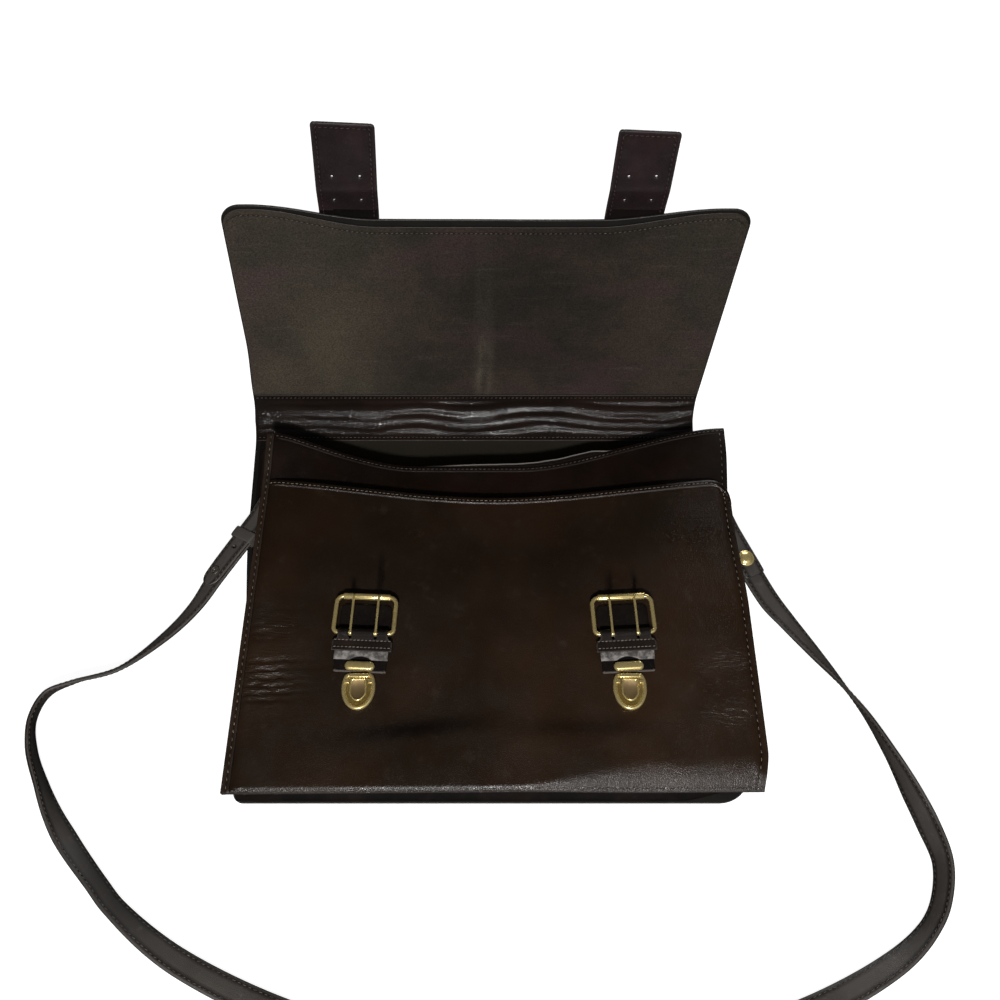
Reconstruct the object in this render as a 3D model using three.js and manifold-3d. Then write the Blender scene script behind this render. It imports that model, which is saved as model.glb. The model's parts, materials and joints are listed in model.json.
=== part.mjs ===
// A leather satchel that lies open on its back, with its flap standing up behind it.
// Millimetres. X runs across the bag, Y from its bottom edge towards the mouth, Z up from the floor.
// The group is moved back by half its length, so that the origin is the middle of the back's outer face.

import * as THREE from 'three';
import { mergeVertices } from 'three/addons/utils/BufferGeometryUtils.js';
import Module from 'manifold-3d';

const wasm = await Module();
wasm.setup();

// Body
const BODY_WIDTH = 400;
const BODY_LENGTH = 320;
const HALF_WIDTH = BODY_WIDTH / 2;
const GAP = 0.3;

// Leather thicknesses
const HIDE = 2;
const SOFT_HIDE = 1.8;
const LINING = 1.2;
const STRAP_HIDE = 3;

// Back and flap: flat on the floor, round at the hinge, then straight up to the free edge
const BACK_FLAT = 325;
const HINGE_RADIUS = 39;
const HINGE_TURN = THREE.MathUtils.degToRad(83);
const HINGE_END = BACK_FLAT + HINGE_RADIUS * HINGE_TURN;
const HINGE_LEAN = -17;
const FLAP_LEAN = -4;
const FLAP_LENGTH = 207.5;
const FLAP_EDGE = { middle: 194, ends: FLAP_LENGTH, from: 85, to: 180 };
const FLAP_LINING_EDGE = { middle: 188.7, ends: 205.5, from: 85, to: 180 };
const FLAP_CORNER = 15;
const BACK_SHARES = { flat: 0.25, hinge: 0.75 };
const BACK_CORNER = { left: 8, right: 28 };
const BACK_LINING_START = 16;

// Hinge band, sewn over the linings at both ends and rippled between
const BAND = { start: 7, past: 2, lap: 6, ripple: 1.4, waves: 4, inset: 1.5 };

// Front walls: the divider closes the main compartment, the front panel makes a flat pocket on it
const FRONT_HEIGHT = 40;
const FRONT_TOP = { middle: 250, ends: 270, from: 0, to: 230, corner: 18 };
const FRONT_LOW = { left: 1.6, right: 4.8 };
const FRONT_BOW = { out: 5.5, from: 35, fades: 150, gone: 230, left: 0.35 };
const FRONT_ROLL = { drop: 3, reach: 12 };
const DIVIDER_HEIGHT = 31;
const DIVIDER_LEFT_TOP = { middle: 288, ends: 315, from: 70, to: 200 };
const DIVIDER_RIGHT_TOP = { middle: 288, ends: 322, from: 20, to: 190 };
const DIVIDER_SEAM = { rise: 3.6, reach: 40 };
const DIVIDER_SAG = { depth: 2, from: 200, to: 283 };
const DIVIDER_INSET = 0.8;

// Shallow hollows in the front panel
const FRONT_DENTS = [
  { x: -70, y: 38, reachX: 90, reachY: 20, depth: 1.6 },
  { x: 140, y: 45, reachX: 45, reachY: 25, depth: 1.2 },
  { x: 10, y: 215, reachX: 120, reachY: 35, depth: 1 },
];

// Edge strip down the left side
const STRIP = { width: 6, thickness: 1.3, lift: 0.45 };
const STRIP_STOPS = [1.6, 5, 13, 30, 120, 200, 272, 277, 281, 285.5, 313];

// Gussets: side walls folded inwards, bottom wall with folds pushed out at its corners
const GUSSET_WALL = 1.6;
const GUSSET_LOW = 3.6;
const GUSSET_HIGH = DIVIDER_HEIGHT + DIVIDER_SEAM.rise - SOFT_HIDE - GAP;
const GUSSET_FOLDS = [
  { name: 'left', side: -1, start: 4, bottomFold: 12, mouthFold: 36 },
  { name: 'right', side: 1, start: 15, bottomFold: 8, mouthFold: 26 },
];
const GUSSET_TOP = { back: 322, front: 312 };
const BOTTOM_WALL = { outer: 1, inset: 2.5 };
const BOTTOM_TUCK = { from: 140, to: 197, depth: 10 };
const BOTTOM_FOLDS = [
  { x: -178, reach: 17, out: 7 },
  { x: 136, reach: 12, out: 4 },
];

// Closures on the front panel: lock below, tab and buckle above, each pair turned a little
const CLOSURES = [
  { name: 'left', x: -104.5, turn: -2.5 },
  { name: 'right', x: 104.5, turn: 3 },
];
const LOCK_TOP = 92.4;
const HASP_CENTRE = 98;
const TAB = { start: -4.5, end: 45, width: 41, thickness: 1.5, corner: 5 };
const CHAPE = { start: 5, upperStart: 12, width: 47, layer: 1.5, loopWidth: 39, loopStart: 21.5, slot: 3.2 };
const CHAPE_CUT = { radius: 14, depth: 3 };
const BUCKLE = { width: 51, bar: 26.5, reach: 31, wire: 1.7, topCorner: 6, lowCorner: 4 };
const ROLLER = { length: 34.6, radius: 2.65 };
const TONGUE = { spacing: 20, width: 2.2, eye: 3.1, shaft: 2, past: 3 };
const HASP = { width: 23.4, length: 7.5, height: 3.4, edge: 0.8 };
const LOCK = { top: 9, width: 13, length: 29, height: 3, floor: 1.4, rim: 3.4 };
const LOCK_BRIDGE = { width: 15, start: 0.6, end: 4, height: 4.2 };
const LATCH = { start: 4.6, width: 13.2, straight: 10, height: 2.5, rim: 1.7, hollow: 0.8 };

// Flap straps, sewn behind the flap and reaching past its free edge
const FLAP_STRAPS = [
  { name: 'left', x: -105, reach: 274 },
  { name: 'right', x: 111, reach: 268 },
];
const FLAP_STRAP = { start: 97, width: 43.5, thickness: 2.4, corner: 2 };
const STRAP_HOLES = { spacing: 20, radius: 1.5, rows: [212, 233] };

// Shoulder strap: one flat band round the front of the bag, turned over in both side loops.
// lift is the height of its lowest edge, roll is 0 with the good side up and 180 with it down.
const STRAP_WIDTH = 19;
const STRAP_STEPS = 2;
const STRAP_ROUTE = [
  { x: -195, y: 260, lift: 12.5, roll: 8 },
  { x: -235, y: 192, lift: 7, roll: 20 },
  { x: -251, y: 162, lift: 3, roll: 34 },
  { x: -271, y: 137, lift: 1, roll: 44 },
  { x: -305, y: 108, lift: 0, roll: 60 },
  { x: -339, y: 97, lift: 0, roll: 68 },
  { x: -358, y: 87, lift: 0, roll: 75 },
  { x: -365, y: 67, lift: 0, roll: 80 },
  { x: -360, y: 42, lift: 0, roll: 93 },
  { x: -345, y: 13, lift: 0, roll: 105 },
  { x: -333, y: -7, lift: 0, roll: 122 },
  { x: -318, y: -27, lift: 0, roll: 136 },
  { x: -290, y: -57, lift: 0, roll: 130 },
  { x: -274, y: -73, lift: 0, roll: 132 },
  { x: -222, y: -109, lift: 0, roll: 158 },
  { x: -110, y: -151, lift: 0, roll: 180 },
  { x: 40, y: -168, lift: 0, roll: 180 },
  { x: 190, y: -149, lift: 0, roll: 175 },
  { x: 284, y: -109, lift: 0, roll: 145 },
  { x: 314, y: -84, lift: 0, roll: 122 },
  { x: 325, y: -66, lift: 0, roll: 118 },
  { x: 331, y: -41, lift: 0, roll: 118 },
  { x: 326, y: -14, lift: 0, roll: 128 },
  { x: 319, y: 8, lift: 0, roll: 120 },
  { x: 308, y: 39, lift: 0, roll: 94 },
  { x: 295, y: 69, lift: 0, roll: 77 },
  { x: 283, y: 90, lift: 0, roll: 64 },
  { x: 266, y: 117, lift: 0, roll: 42 },
  { x: 243, y: 151, lift: 3, roll: 18 },
  { x: 231, y: 169, lift: 6, roll: 4 },
  { x: 212, y: 208, lift: 11, roll: 0 },
  { x: 194, y: 250, lift: 13.3, roll: 0 },
];
const RING = { wire: 1.4, depth: 8, inner: 21, corner: 2.5 };
const SIDE_TAB = { width: 18, layer: 1.4, reach: 44, mouthEnd: 308, clear: 0.8 };
const STRAP_ENDS = [
  { name: 'left', side: -1, fold: 92, round: true },
  { name: 'right', side: 1, fold: 66, round: false },
];
const FOLD_CLOSES = 24;
const KEEPER = { at: 40, length: 10, wall: 1.4, clear: 0.4 };
const STUD = { at: 79, radius: 3.2, height: 1.6 };
const RIVET = { at: 50, radius: 7, height: 3 };

// Finishes
const LEATHER = { color: 0x2c1f1a, roughness: 0.42, metalness: 0 };
const SMOOTH_LEATHER = { color: 0x33221d, roughness: 0.3, metalness: 0 };
const SUEDE = { color: 0x3c342d, roughness: 0.9, metalness: 0 };
const DARK_LINING = { color: 0x2d302a, roughness: 0.85, metalness: 0 };
const STRAP_LEATHER = { color: 0x3a3634, roughness: 0.5, metalness: 0 };
const BRASS = { color: 0xc8a85a, roughness: 0.25, metalness: 1 };
const DARK_METAL = { color: 0x3b362c, roughness: 0.4, metalness: 1 };

const AXIS_X = new THREE.Vector3(1, 0, 0);
const AXIS_Y = new THREE.Vector3(0, 1, 0);
const AXIS_Z = new THREE.Vector3(0, 0, 1);
const { lerp, clamp, smoothstep, degToRad } = THREE.MathUtils;

// Helpers for closed shapes

function closedGeometry(points, triangles) {
  const geometry = new THREE.BufferGeometry();
  const flat = points.flatMap((point) => point.toArray());
  geometry.setAttribute('position', new THREE.Float32BufferAttribute(flat, 3));
  let volume = 0;
  for (let i = 0; i < triangles.length; i += 3) {
    const [a, b, c] = [points[triangles[i]], points[triangles[i + 1]], points[triangles[i + 2]]];
    volume += a.dot(b.clone().cross(c));
  }
  geometry.setIndex(volume < 0 ? [...triangles].reverse() : triangles);
  return geometry;
}

// A wall between two faces: place(u, v, face) gives a point, with face 0 and face 1 a thickness apart.
function closedSheet(columns, rows, place) {
  const points = [];
  for (const face of [0, 1]) {
    for (let row = 0; row <= rows; row += 1) {
      for (let column = 0; column <= columns; column += 1) {
        points.push(place(column / columns, row / rows, face));
      }
    }
  }
  const stride = columns + 1;
  const at = (face, column, row) => (face * (rows + 1) + row) * stride + column;
  const triangles = [];
  const quad = (a, b, c, d) => triangles.push(a, b, c, a, c, d);
  for (let row = 0; row < rows; row += 1) {
    for (let column = 0; column < columns; column += 1) {
      quad(at(0, column, row), at(0, column + 1, row), at(0, column + 1, row + 1), at(0, column, row + 1));
      quad(at(1, column, row), at(1, column, row + 1), at(1, column + 1, row + 1), at(1, column + 1, row));
    }
    quad(at(0, 0, row), at(0, 0, row + 1), at(1, 0, row + 1), at(1, 0, row));
    quad(at(0, columns, row), at(1, columns, row), at(1, columns, row + 1), at(0, columns, row + 1));
  }
  for (let column = 0; column < columns; column += 1) {
    quad(at(0, column, 0), at(1, column, 0), at(1, column + 1, 0), at(0, column + 1, 0));
    quad(at(0, column, rows), at(0, column + 1, rows), at(1, column + 1, rows), at(1, column, rows));
  }
  return closedGeometry(points, triangles);
}

// A skin through sections of equally many points, capped at both ends or joined into a loop.
function loft(sections, loop = false) {
  const count = sections[0].length;
  const points = sections.flat();
  const triangles = [];
  const spans = loop ? sections.length : sections.length - 1;
  for (let span = 0; span < spans; span += 1) {
    const here = span * count;
    const there = ((span + 1) % sections.length) * count;
    for (let corner = 0; corner < count; corner += 1) {
      const next = (corner + 1) % count;
      triangles.push(here + corner, here + next, there + next, here + corner, there + next, there + corner);
    }
  }
  const last = (sections.length - 1) * count;
  for (let corner = 1; !loop && corner < count - 1; corner += 1) {
    triangles.push(0, corner + 1, corner, last, last + corner, last + corner + 1);
  }
  return closedGeometry(points, triangles);
}

function toSolid(geometry) {
  const bare = geometry.clone();
  bare.deleteAttribute('normal');
  bare.deleteAttribute('uv');
  const merged = mergeVertices(bare, 1e-4);
  const vertProperties = new Float32Array(merged.attributes.position.array);
  const triVerts = new Uint32Array(merged.index.array);
  return new wasm.Manifold(new wasm.Mesh({ numProp: 3, vertProperties, triVerts }));
}

function toGeometry(solid) {
  const mesh = solid.getMesh();
  const geometry = new THREE.BufferGeometry();
  geometry.setAttribute('position', new THREE.Float32BufferAttribute(mesh.vertProperties, 3));
  geometry.setIndex([...mesh.triVerts]);
  return geometry;
}

function cut(geometry, cutters) {
  const rest = cutters.reduce((solid, cutter) => solid.subtract(toSolid(cutter)), toSolid(geometry));
  return toGeometry(rest);
}

function join(geometry, other) {
  return toGeometry(toSolid(geometry).add(toSolid(other)));
}

function boxBetween(low, high) {
  const size = new THREE.Vector3().subVectors(high, low);
  const centre = new THREE.Vector3().addVectors(low, high).multiplyScalar(0.5);
  return new THREE.BoxGeometry(size.x, size.y, size.z).translate(centre.x, centre.y, centre.z);
}

function plate(shape, depth, curveSegments = 6) {
  return new THREE.ExtrudeGeometry(shape, { depth, curveSegments, bevelEnabled: false });
}

// A profile drawn in Y and Z, extruded across X about the middle.
function acrossX(shape, width, curveSegments = 6) {
  const turned = new THREE.Matrix4().makeBasis(AXIS_Y, AXIS_Z, AXIS_X);
  return plate(shape, width, curveSegments).translate(0, 0, -width / 2).applyMatrix4(turned);
}

function roundedRect(left, low, right, high, lowCorner, highCorner) {
  const shape = new THREE.Shape();
  const quarter = Math.PI / 2;
  shape.absarc(right - lowCorner, low + lowCorner, lowCorner, -quarter, 0);
  shape.absarc(right - highCorner, high - highCorner, highCorner, 0, quarter);
  shape.absarc(left + highCorner, high - highCorner, highCorner, quarter, 2 * quarter);
  shape.absarc(left + lowCorner, low + lowCorner, lowCorner, 2 * quarter, 3 * quarter);
  return shape;
}

function circleHole(x, y, radius) {
  return new THREE.Path().absarc(x, y, radius, 0, 2 * Math.PI, true);
}

// Round wire along a flat rounded rectangle.
function wireLoop(outline, radius, height, sides = 8) {
  const line = outline.getPoints(2).filter((point, i, all) => i === 0 || point.distanceTo(all[i - 1]) > 0.01);
  if (line[0].distanceTo(line.at(-1)) < 0.01) {
    line.pop();
  }
  const sections = line.map((point, i) => {
    const before = line.at(i - 1);
    const after = line[(i + 1) % line.length];
    const along = new THREE.Vector2().subVectors(after, before).normalize();
    const section = [];
    for (let side = 0; side < sides; side += 1) {
      const angle = (side + 0.5) * 2 * Math.PI / sides;
      const out = radius * Math.cos(angle);
      const up = height + radius * Math.sin(angle);
      section.push(new THREE.Vector3(point.x + along.y * out, point.y - along.x * out, up));
    }
    return section;
  });
  return loft(sections, true);
}

const bag = new THREE.Group();
bag.position.y = -BODY_LENGTH / 2;

function addPiece(parent, name, geometry, finish) {
  const piece = new THREE.Mesh(geometry, new THREE.MeshStandardMaterial(finish));
  piece.name = name;
  parent.add(piece);
  return piece;
}

// Columns that crowd towards both sides, where edges roll and corners round.
function sideSpread(u) {
  return Math.sin((u - 0.5) * Math.PI);
}

function cornerDrop(inset, radius) {
  const short = Math.max(radius - inset, 0);
  return radius - Math.sqrt(radius * radius - short * short);
}

// Back, flap and their linings

function leanAt(along) {
  const hinge = (BACK_FLAT + HINGE_END) / 2;
  if (along < hinge) {
    return HINGE_LEAN * along / hinge;
  }
  return lerp(HINGE_LEAN, FLAP_LEAN, (along - hinge) / (HINGE_END + FLAP_LENGTH - hinge));
}

// A point x across, a length along the outer face from the bottom edge, and a depth inwards from it.
function backPoint(x, along, depth) {
  const turn = clamp((along - BACK_FLAT) / HINGE_RADIUS, 0, HINGE_TURN);
  const straight = Math.max(along - HINGE_END, 0);
  const radius = HINGE_RADIUS - depth;
  const y = Math.min(along, BACK_FLAT) + radius * Math.sin(turn) + straight * Math.cos(turn);
  const z = HINGE_RADIUS - radius * Math.cos(turn) + straight * Math.sin(turn);
  return new THREE.Vector3(x + leanAt(along), y, z);
}

function dippedEdge(x, edge) {
  return lerp(edge.middle, edge.ends, smoothstep(Math.abs(x), edge.from, edge.to));
}

function flapEdge(x, edge) {
  return dippedEdge(x, edge) - cornerDrop(HALF_WIDTH - Math.abs(x), FLAP_CORNER);
}

function backAlong(x, v) {
  if (v <= BACK_SHARES.flat) {
    const low = cornerDrop(HALF_WIDTH - Math.abs(x), x < 0 ? BACK_CORNER.left : BACK_CORNER.right);
    return lerp(low, BACK_FLAT, v / BACK_SHARES.flat);
  }
  if (v <= BACK_SHARES.hinge) {
    return lerp(BACK_FLAT, HINGE_END, (v - BACK_SHARES.flat) / (BACK_SHARES.hinge - BACK_SHARES.flat));
  }
  return HINGE_END + flapEdge(x, FLAP_EDGE) * (v - BACK_SHARES.hinge) / (1 - BACK_SHARES.hinge);
}

function backAndFlap() {
  return closedSheet(22, 12, (u, v, face) => {
    const x = HALF_WIDTH * sideSpread(u);
    return backPoint(x, backAlong(x, v), face * HIDE);
  });
}

function flapLining() {
  const depth = HIDE + GAP;
  const start = HINGE_END + BAND.past - BAND.lap;
  return closedSheet(22, 4, (u, v, face) => {
    const x = HALF_WIDTH * sideSpread(u);
    const reach = flapEdge(x, FLAP_LINING_EDGE);
    const along = v < 0.5 ? lerp(start, HINGE_END, 2 * v) : HINGE_END + reach * (2 * v - 1);
    return backPoint(x * (1 - 1 / HALF_WIDTH), along, depth + face * LINING);
  });
}

function backLining() {
  const depth = HIDE + GAP;
  const end = BACK_FLAT + BAND.start + BAND.lap;
  return closedSheet(4, 4, (u, v, face) => {
    const x = (HALF_WIDTH - 4) * (2 * u - 1);
    const along = v < 0.5 ? lerp(BACK_LINING_START, BACK_FLAT, 2 * v) : lerp(BACK_FLAT, end, 2 * v - 1);
    return backPoint(x, along, depth + face * LINING);
  });
}

function hingeBand() {
  const depth = HIDE + LINING + 2 * GAP;
  const low = BACK_FLAT + BAND.start;
  const high = HINGE_END + BAND.past;
  return closedSheet(4, 18, (u, v, face) => {
    const x = (HALF_WIDTH - BAND.inset) * (2 * u - 1);
    const envelope = smoothstep(v, 0.12, 0.3) * (1 - smoothstep(v, 0.7, 0.86));
    const ripple = BAND.ripple * envelope * (1 - Math.cos(2 * Math.PI * BAND.waves * v)) / 2;
    return backPoint(x, lerp(low, high, v), depth + ripple + face * LINING);
  });
}

addPiece(bag, 'back_and_flap', backAndFlap(), LEATHER);
addPiece(bag, 'flap_lining', flapLining(), SUEDE);
addPiece(bag, 'back_lining', backLining(), DARK_LINING);
addPiece(bag, 'hinge_band', hingeBand(), SMOOTH_LEATHER);

// Front walls

function edgeInset(x, y) {
  return Math.min(HALF_WIDTH - Math.abs(x), y);
}

function frontLow(x) {
  return lerp(FRONT_LOW.left, FRONT_LOW.right, 0.5 + x / BODY_WIDTH);
}

// The right edge of the front panel bows out along its lower half.
function frontBow(x, y) {
  const fade = 1 - (1 - FRONT_BOW.left) * smoothstep(y, FRONT_BOW.fades, FRONT_BOW.gone);
  return FRONT_BOW.out * smoothstep(y, 0, FRONT_BOW.from) * fade * smoothstep(x, 0, HALF_WIDTH);
}

function frontHeight(x, y) {
  const inset = edgeInset(x, y - frontLow(x));
  const roll = FRONT_ROLL.drop * (1 - smoothstep(inset, 0, FRONT_ROLL.reach));
  const dents = FRONT_DENTS.reduce((sum, dent) => {
    const away = Math.hypot((x - dent.x) / dent.reachX, (y - dent.y) / dent.reachY);
    return sum + dent.depth * (1 - smoothstep(away, 0, 1));
  }, 0);
  return FRONT_HEIGHT - roll - dents;
}

function dividerHeight(x, y) {
  const rise = DIVIDER_SEAM.rise * (1 - smoothstep(edgeInset(x, y), 0, DIVIDER_SEAM.reach));
  const middle = 1 - (x / HALF_WIDTH) ** 2;
  return DIVIDER_HEIGHT + rise - DIVIDER_SAG.depth * middle * smoothstep(y, DIVIDER_SAG.from, DIVIDER_SAG.to);
}

function frontTop(x) {
  const corner = x > 0 ? cornerDrop(HALF_WIDTH - x, FRONT_TOP.corner) : 0;
  return dippedEdge(x, FRONT_TOP) - corner;
}

function frontPanel() {
  return closedSheet(20, 14, (u, v, face) => {
    const x = HALF_WIDTH * sideSpread(u);
    const y = lerp(frontLow(x), frontTop(x), v ** 1.6);
    return new THREE.Vector3(x + frontBow(x, y), y, frontHeight(x, y) - face * HIDE);
  });
}

function divider() {
  return closedSheet(20, 10, (u, v, face) => {
    const x = (HALF_WIDTH - DIVIDER_INSET) * sideSpread(u);
    const y = lerp(DIVIDER_INSET, dippedEdge(x, x < 0 ? DIVIDER_LEFT_TOP : DIVIDER_RIGHT_TOP), v ** 1.5);
    return new THREE.Vector3(x, y, dividerHeight(x, y) - face * SOFT_HIDE);
  });
}

function edgeStrip() {
  const spans = STRIP_STOPS.length - 1;
  return closedSheet(2, spans, (u, v, face) => {
    const x = -HALF_WIDTH - 0.5 + STRIP.width * u;
    const y = STRIP_STOPS[Math.round(v * spans)];
    const inner = Math.max(x, -HALF_WIDTH);
    const onDivider = smoothstep(y, FRONT_TOP.ends + 1.5, FRONT_TOP.ends + 14.5);
    const seat = lerp(frontHeight(inner, y), dividerHeight(inner, y), onDivider);
    return new THREE.Vector3(x, y, seat + STRIP.lift + (1 - face) * STRIP.thickness);
  });
}

addPiece(bag, 'divider', divider(), LEATHER);
addPiece(bag, 'front_panel', frontPanel(), LEATHER);
addPiece(bag, 'edge_strip', edgeStrip(), LEATHER);

// Gussets

function foldLine(gusset, y, t) {
  const backEdge = gusset.side * (HALF_WIDTH - 1) + leanAt(y);
  const frontEdge = gusset.side * (HALF_WIDTH - 1);
  const fold = lerp(gusset.bottomFold, gusset.mouthFold, y / BODY_LENGTH);
  const depth = fold * (1 - Math.abs(2 * t - 1) ** 2.2);
  return lerp(backEdge, frontEdge, t) - gusset.side * depth;
}

function sideGusset(gusset) {
  return closedSheet(8, 6, (u, v, face) => {
    const y = lerp(gusset.start, lerp(GUSSET_TOP.back, GUSSET_TOP.front, u), v);
    const step = 0.01;
    const slope = (foldLine(gusset, y, u + step) - foldLine(gusset, y, u - step)) / (2 * step);
    const lean = Math.hypot(1, slope / (GUSSET_HIGH - GUSSET_LOW));
    const wall = GUSSET_WALL * Math.min(lean, 2);
    const x = foldLine(gusset, y, u) - gusset.side * face * wall;
    return new THREE.Vector3(x, y, lerp(GUSSET_LOW, GUSSET_HIGH, u));
  });
}

function bottomGusset() {
  return closedSheet(32, 4, (u, v, face) => {
    const x = (HALF_WIDTH - BOTTOM_WALL.inset) * (2 * u - 1);
    const tuck = BOTTOM_TUCK.depth * smoothstep(x, BOTTOM_TUCK.from, BOTTOM_TUCK.to);
    const out = BOTTOM_FOLDS.reduce((sum, fold) => {
      return sum + fold.out * (1 - smoothstep(Math.abs(x - fold.x) / fold.reach, 0, 1));
    }, 0);
    const y = BOTTOM_WALL.outer + tuck - out * Math.sin(Math.PI * v) + face * HIDE;
    const high = dividerHeight(x, BOTTOM_WALL.outer + tuck + HIDE) - SOFT_HIDE - 2 * GAP;
    return new THREE.Vector3(x, y, lerp(HIDE + GAP, high, v));
  });
}

for (const gusset of GUSSET_FOLDS) {
  addPiece(bag, `side_gusset_${gusset.name}`, sideGusset(gusset), LEATHER);
}
addPiece(bag, 'bottom_gusset', bottomGusset(), LEATHER);

// Closures. Their heights are counted from the front panel, along lengths from the middle of the hasp.

const CHAPE_LOW = TAB.thickness + 2 * GAP;
const LOOP_HOLE = BUCKLE.wire + GAP;
const LOOP_RADIUS = LOOP_HOLE + CHAPE.layer;
const BAR_HEIGHT = CHAPE_LOW + LOOP_RADIUS;

function lockTab() {
  const half = TAB.width / 2;
  const outline = roundedRect(-half, TAB.start, half, TAB.end, 1, TAB.corner);
  return plate(outline, TAB.thickness, 4).translate(0, 0, GAP);
}

function buckleChape() {
  const top = CHAPE_LOW + 2 * CHAPE.layer;
  const profile = new THREE.Shape();
  profile.moveTo(CHAPE.start, CHAPE_LOW);
  profile.absarc(BUCKLE.bar, BAR_HEIGHT, LOOP_RADIUS, -Math.PI / 2, 0.7 * Math.PI);
  profile.lineTo(BUCKLE.bar - 2.3 * LOOP_RADIUS, top);
  profile.lineTo(CHAPE.upperStart, top);
  profile.lineTo(CHAPE.upperStart, top - CHAPE.layer);
  profile.lineTo(CHAPE.start, top - CHAPE.layer);
  profile.holes.push(circleHole(BUCKLE.bar, BAR_HEIGHT, LOOP_HOLE));
  const past = BUCKLE.bar + 2 * LOOP_RADIUS;
  const high = BAR_HEIGHT + 2 * LOOP_RADIUS;
  const cutters = [];
  for (const side of [-1, 1]) {
    const [near, far] = [side * CHAPE.loopWidth / 2, side * CHAPE.width];
    const cornerLow = new THREE.Vector3(Math.min(near, far), CHAPE.loopStart, 0);
    const cornerHigh = new THREE.Vector3(Math.max(near, far), past, high);
    cutters.push(boxBetween(cornerLow, cornerHigh));
    const slotMiddle = side * TONGUE.spacing / 2;
    const slotLow = new THREE.Vector3(slotMiddle - CHAPE.slot / 2, BUCKLE.bar - 2 * LOOP_RADIUS + 1, 0);
    const slotHigh = new THREE.Vector3(slotMiddle + CHAPE.slot / 2, past, high);
    cutters.push(boxBetween(slotLow, slotHigh));
  }
  const scoop = new THREE.CylinderGeometry(CHAPE_CUT.radius, CHAPE_CUT.radius, 20, 24).rotateX(Math.PI / 2);
  scoop.translate(0, CHAPE.start + CHAPE_CUT.depth - CHAPE_CUT.radius, 0);
  cutters.push(scoop);
  return cut(acrossX(profile, CHAPE.width), cutters);
}

function buckleFrame() {
  const half = BUCKLE.width / 2 - BUCKLE.wire;
  const high = BUCKLE.bar + BUCKLE.reach;
  const line = roundedRect(-half, BUCKLE.bar, half, high, BUCKLE.lowCorner, BUCKLE.topCorner);
  return wireLoop(line, BUCKLE.wire, BAR_HEIGHT);
}

function buckleRoller() {
  const ring = new THREE.Shape().absarc(BUCKLE.bar + BUCKLE.reach, BAR_HEIGHT, ROLLER.radius, 0, 2 * Math.PI);
  ring.holes.push(circleHole(BUCKLE.bar + BUCKLE.reach, BAR_HEIGHT, BUCKLE.wire + GAP));
  return acrossX(ring, ROLLER.length, 8);
}

function buckleTongue() {
  const end = BUCKLE.bar + BUCKLE.reach;
  const rest = BAR_HEIGHT + ROLLER.radius + GAP;
  const eyeTop = BAR_HEIGHT + TONGUE.eye;
  const outline = new THREE.Shape();
  outline.moveTo(BUCKLE.bar, eyeTop);
  outline.absarc(BUCKLE.bar, BAR_HEIGHT, TONGUE.eye, Math.PI / 2, 2 * Math.PI);
  outline.lineTo(BUCKLE.bar + TONGUE.eye + 1.5, BAR_HEIGHT + 1);
  outline.lineTo(end - 4, rest);
  outline.lineTo(end + TONGUE.past - 1, rest);
  outline.quadraticCurveTo(end + TONGUE.past, rest, end + TONGUE.past, rest + TONGUE.shaft / 2);
  outline.quadraticCurveTo(end + TONGUE.past - 1, rest + TONGUE.shaft, end - 3, rest + TONGUE.shaft);
  outline.holes.push(circleHole(BUCKLE.bar, BAR_HEIGHT, LOOP_HOLE));
  return acrossX(outline, TONGUE.width, 5);
}

function lockHasp() {
  const half = HASP.width / 2;
  const outline = roundedRect(-half, -HASP.length / 2, half, HASP.length / 2, 3, 3);
  const { edge } = HASP;
  const bar = new THREE.ExtrudeGeometry(outline, {
    depth: HASP.height - 2 * edge,
    curveSegments: 3,
    bevelThickness: edge,
    bevelSize: edge,
    bevelOffset: -edge,
    bevelSegments: 2,
  });
  return bar.translate(0, 0, CHAPE_LOW + edge);
}

function eggOutline(inset) {
  const top = LOCK.top - inset / 2;
  const wide = LOCK.width - inset;
  const end = -LOCK.length + inset;
  const waist = -0.4 * LOCK.length;
  const outline = new THREE.Shape();
  outline.moveTo(top, -inset);
  outline.lineTo(-top, -inset);
  outline.bezierCurveTo(-wide + 1, -inset - 1, -wide, waist / 2, -wide, waist);
  outline.bezierCurveTo(-wide, 0.7 * end, -0.6 * wide, end, 0, end);
  outline.bezierCurveTo(0.6 * wide, end, wide, 0.7 * end, wide, waist);
  outline.bezierCurveTo(wide, waist / 2, wide - 1, -inset - 1, top, -inset);
  return outline;
}

function lockPlate() {
  const body = plate(eggOutline(0), LOCK.height, 8).translate(0, 0, GAP);
  const recess = plate(eggOutline(LOCK.rim), LOCK.height, 8).translate(0, 0, GAP + LOCK.floor);
  const bridgeLow = new THREE.Vector3(-LOCK_BRIDGE.width / 2, -LOCK_BRIDGE.end, GAP + LOCK.floor - 0.2);
  const bridgeHigh = new THREE.Vector3(LOCK_BRIDGE.width / 2, -LOCK_BRIDGE.start, GAP + LOCK_BRIDGE.height);
  return join(cut(body, [recess]), boxBetween(bridgeLow, bridgeHigh));
}

function latchOutline(inset) {
  const half = LATCH.width / 2 - inset;
  const outline = new THREE.Shape();
  outline.moveTo(half, -LATCH.start - inset);
  outline.lineTo(-half, -LATCH.start - inset);
  outline.absarc(0, -LATCH.start - LATCH.straight, half, Math.PI, 2 * Math.PI);
  return outline;
}

function lockLatch() {
  const low = 2 * GAP + LOCK.floor;
  const body = plate(latchOutline(0), LATCH.height, 8).translate(0, 0, low);
  const hollow = plate(latchOutline(LATCH.rim), LATCH.height, 8);
  return cut(body, [hollow.translate(0, 0, low + LATCH.height - LATCH.hollow)]);
}

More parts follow.
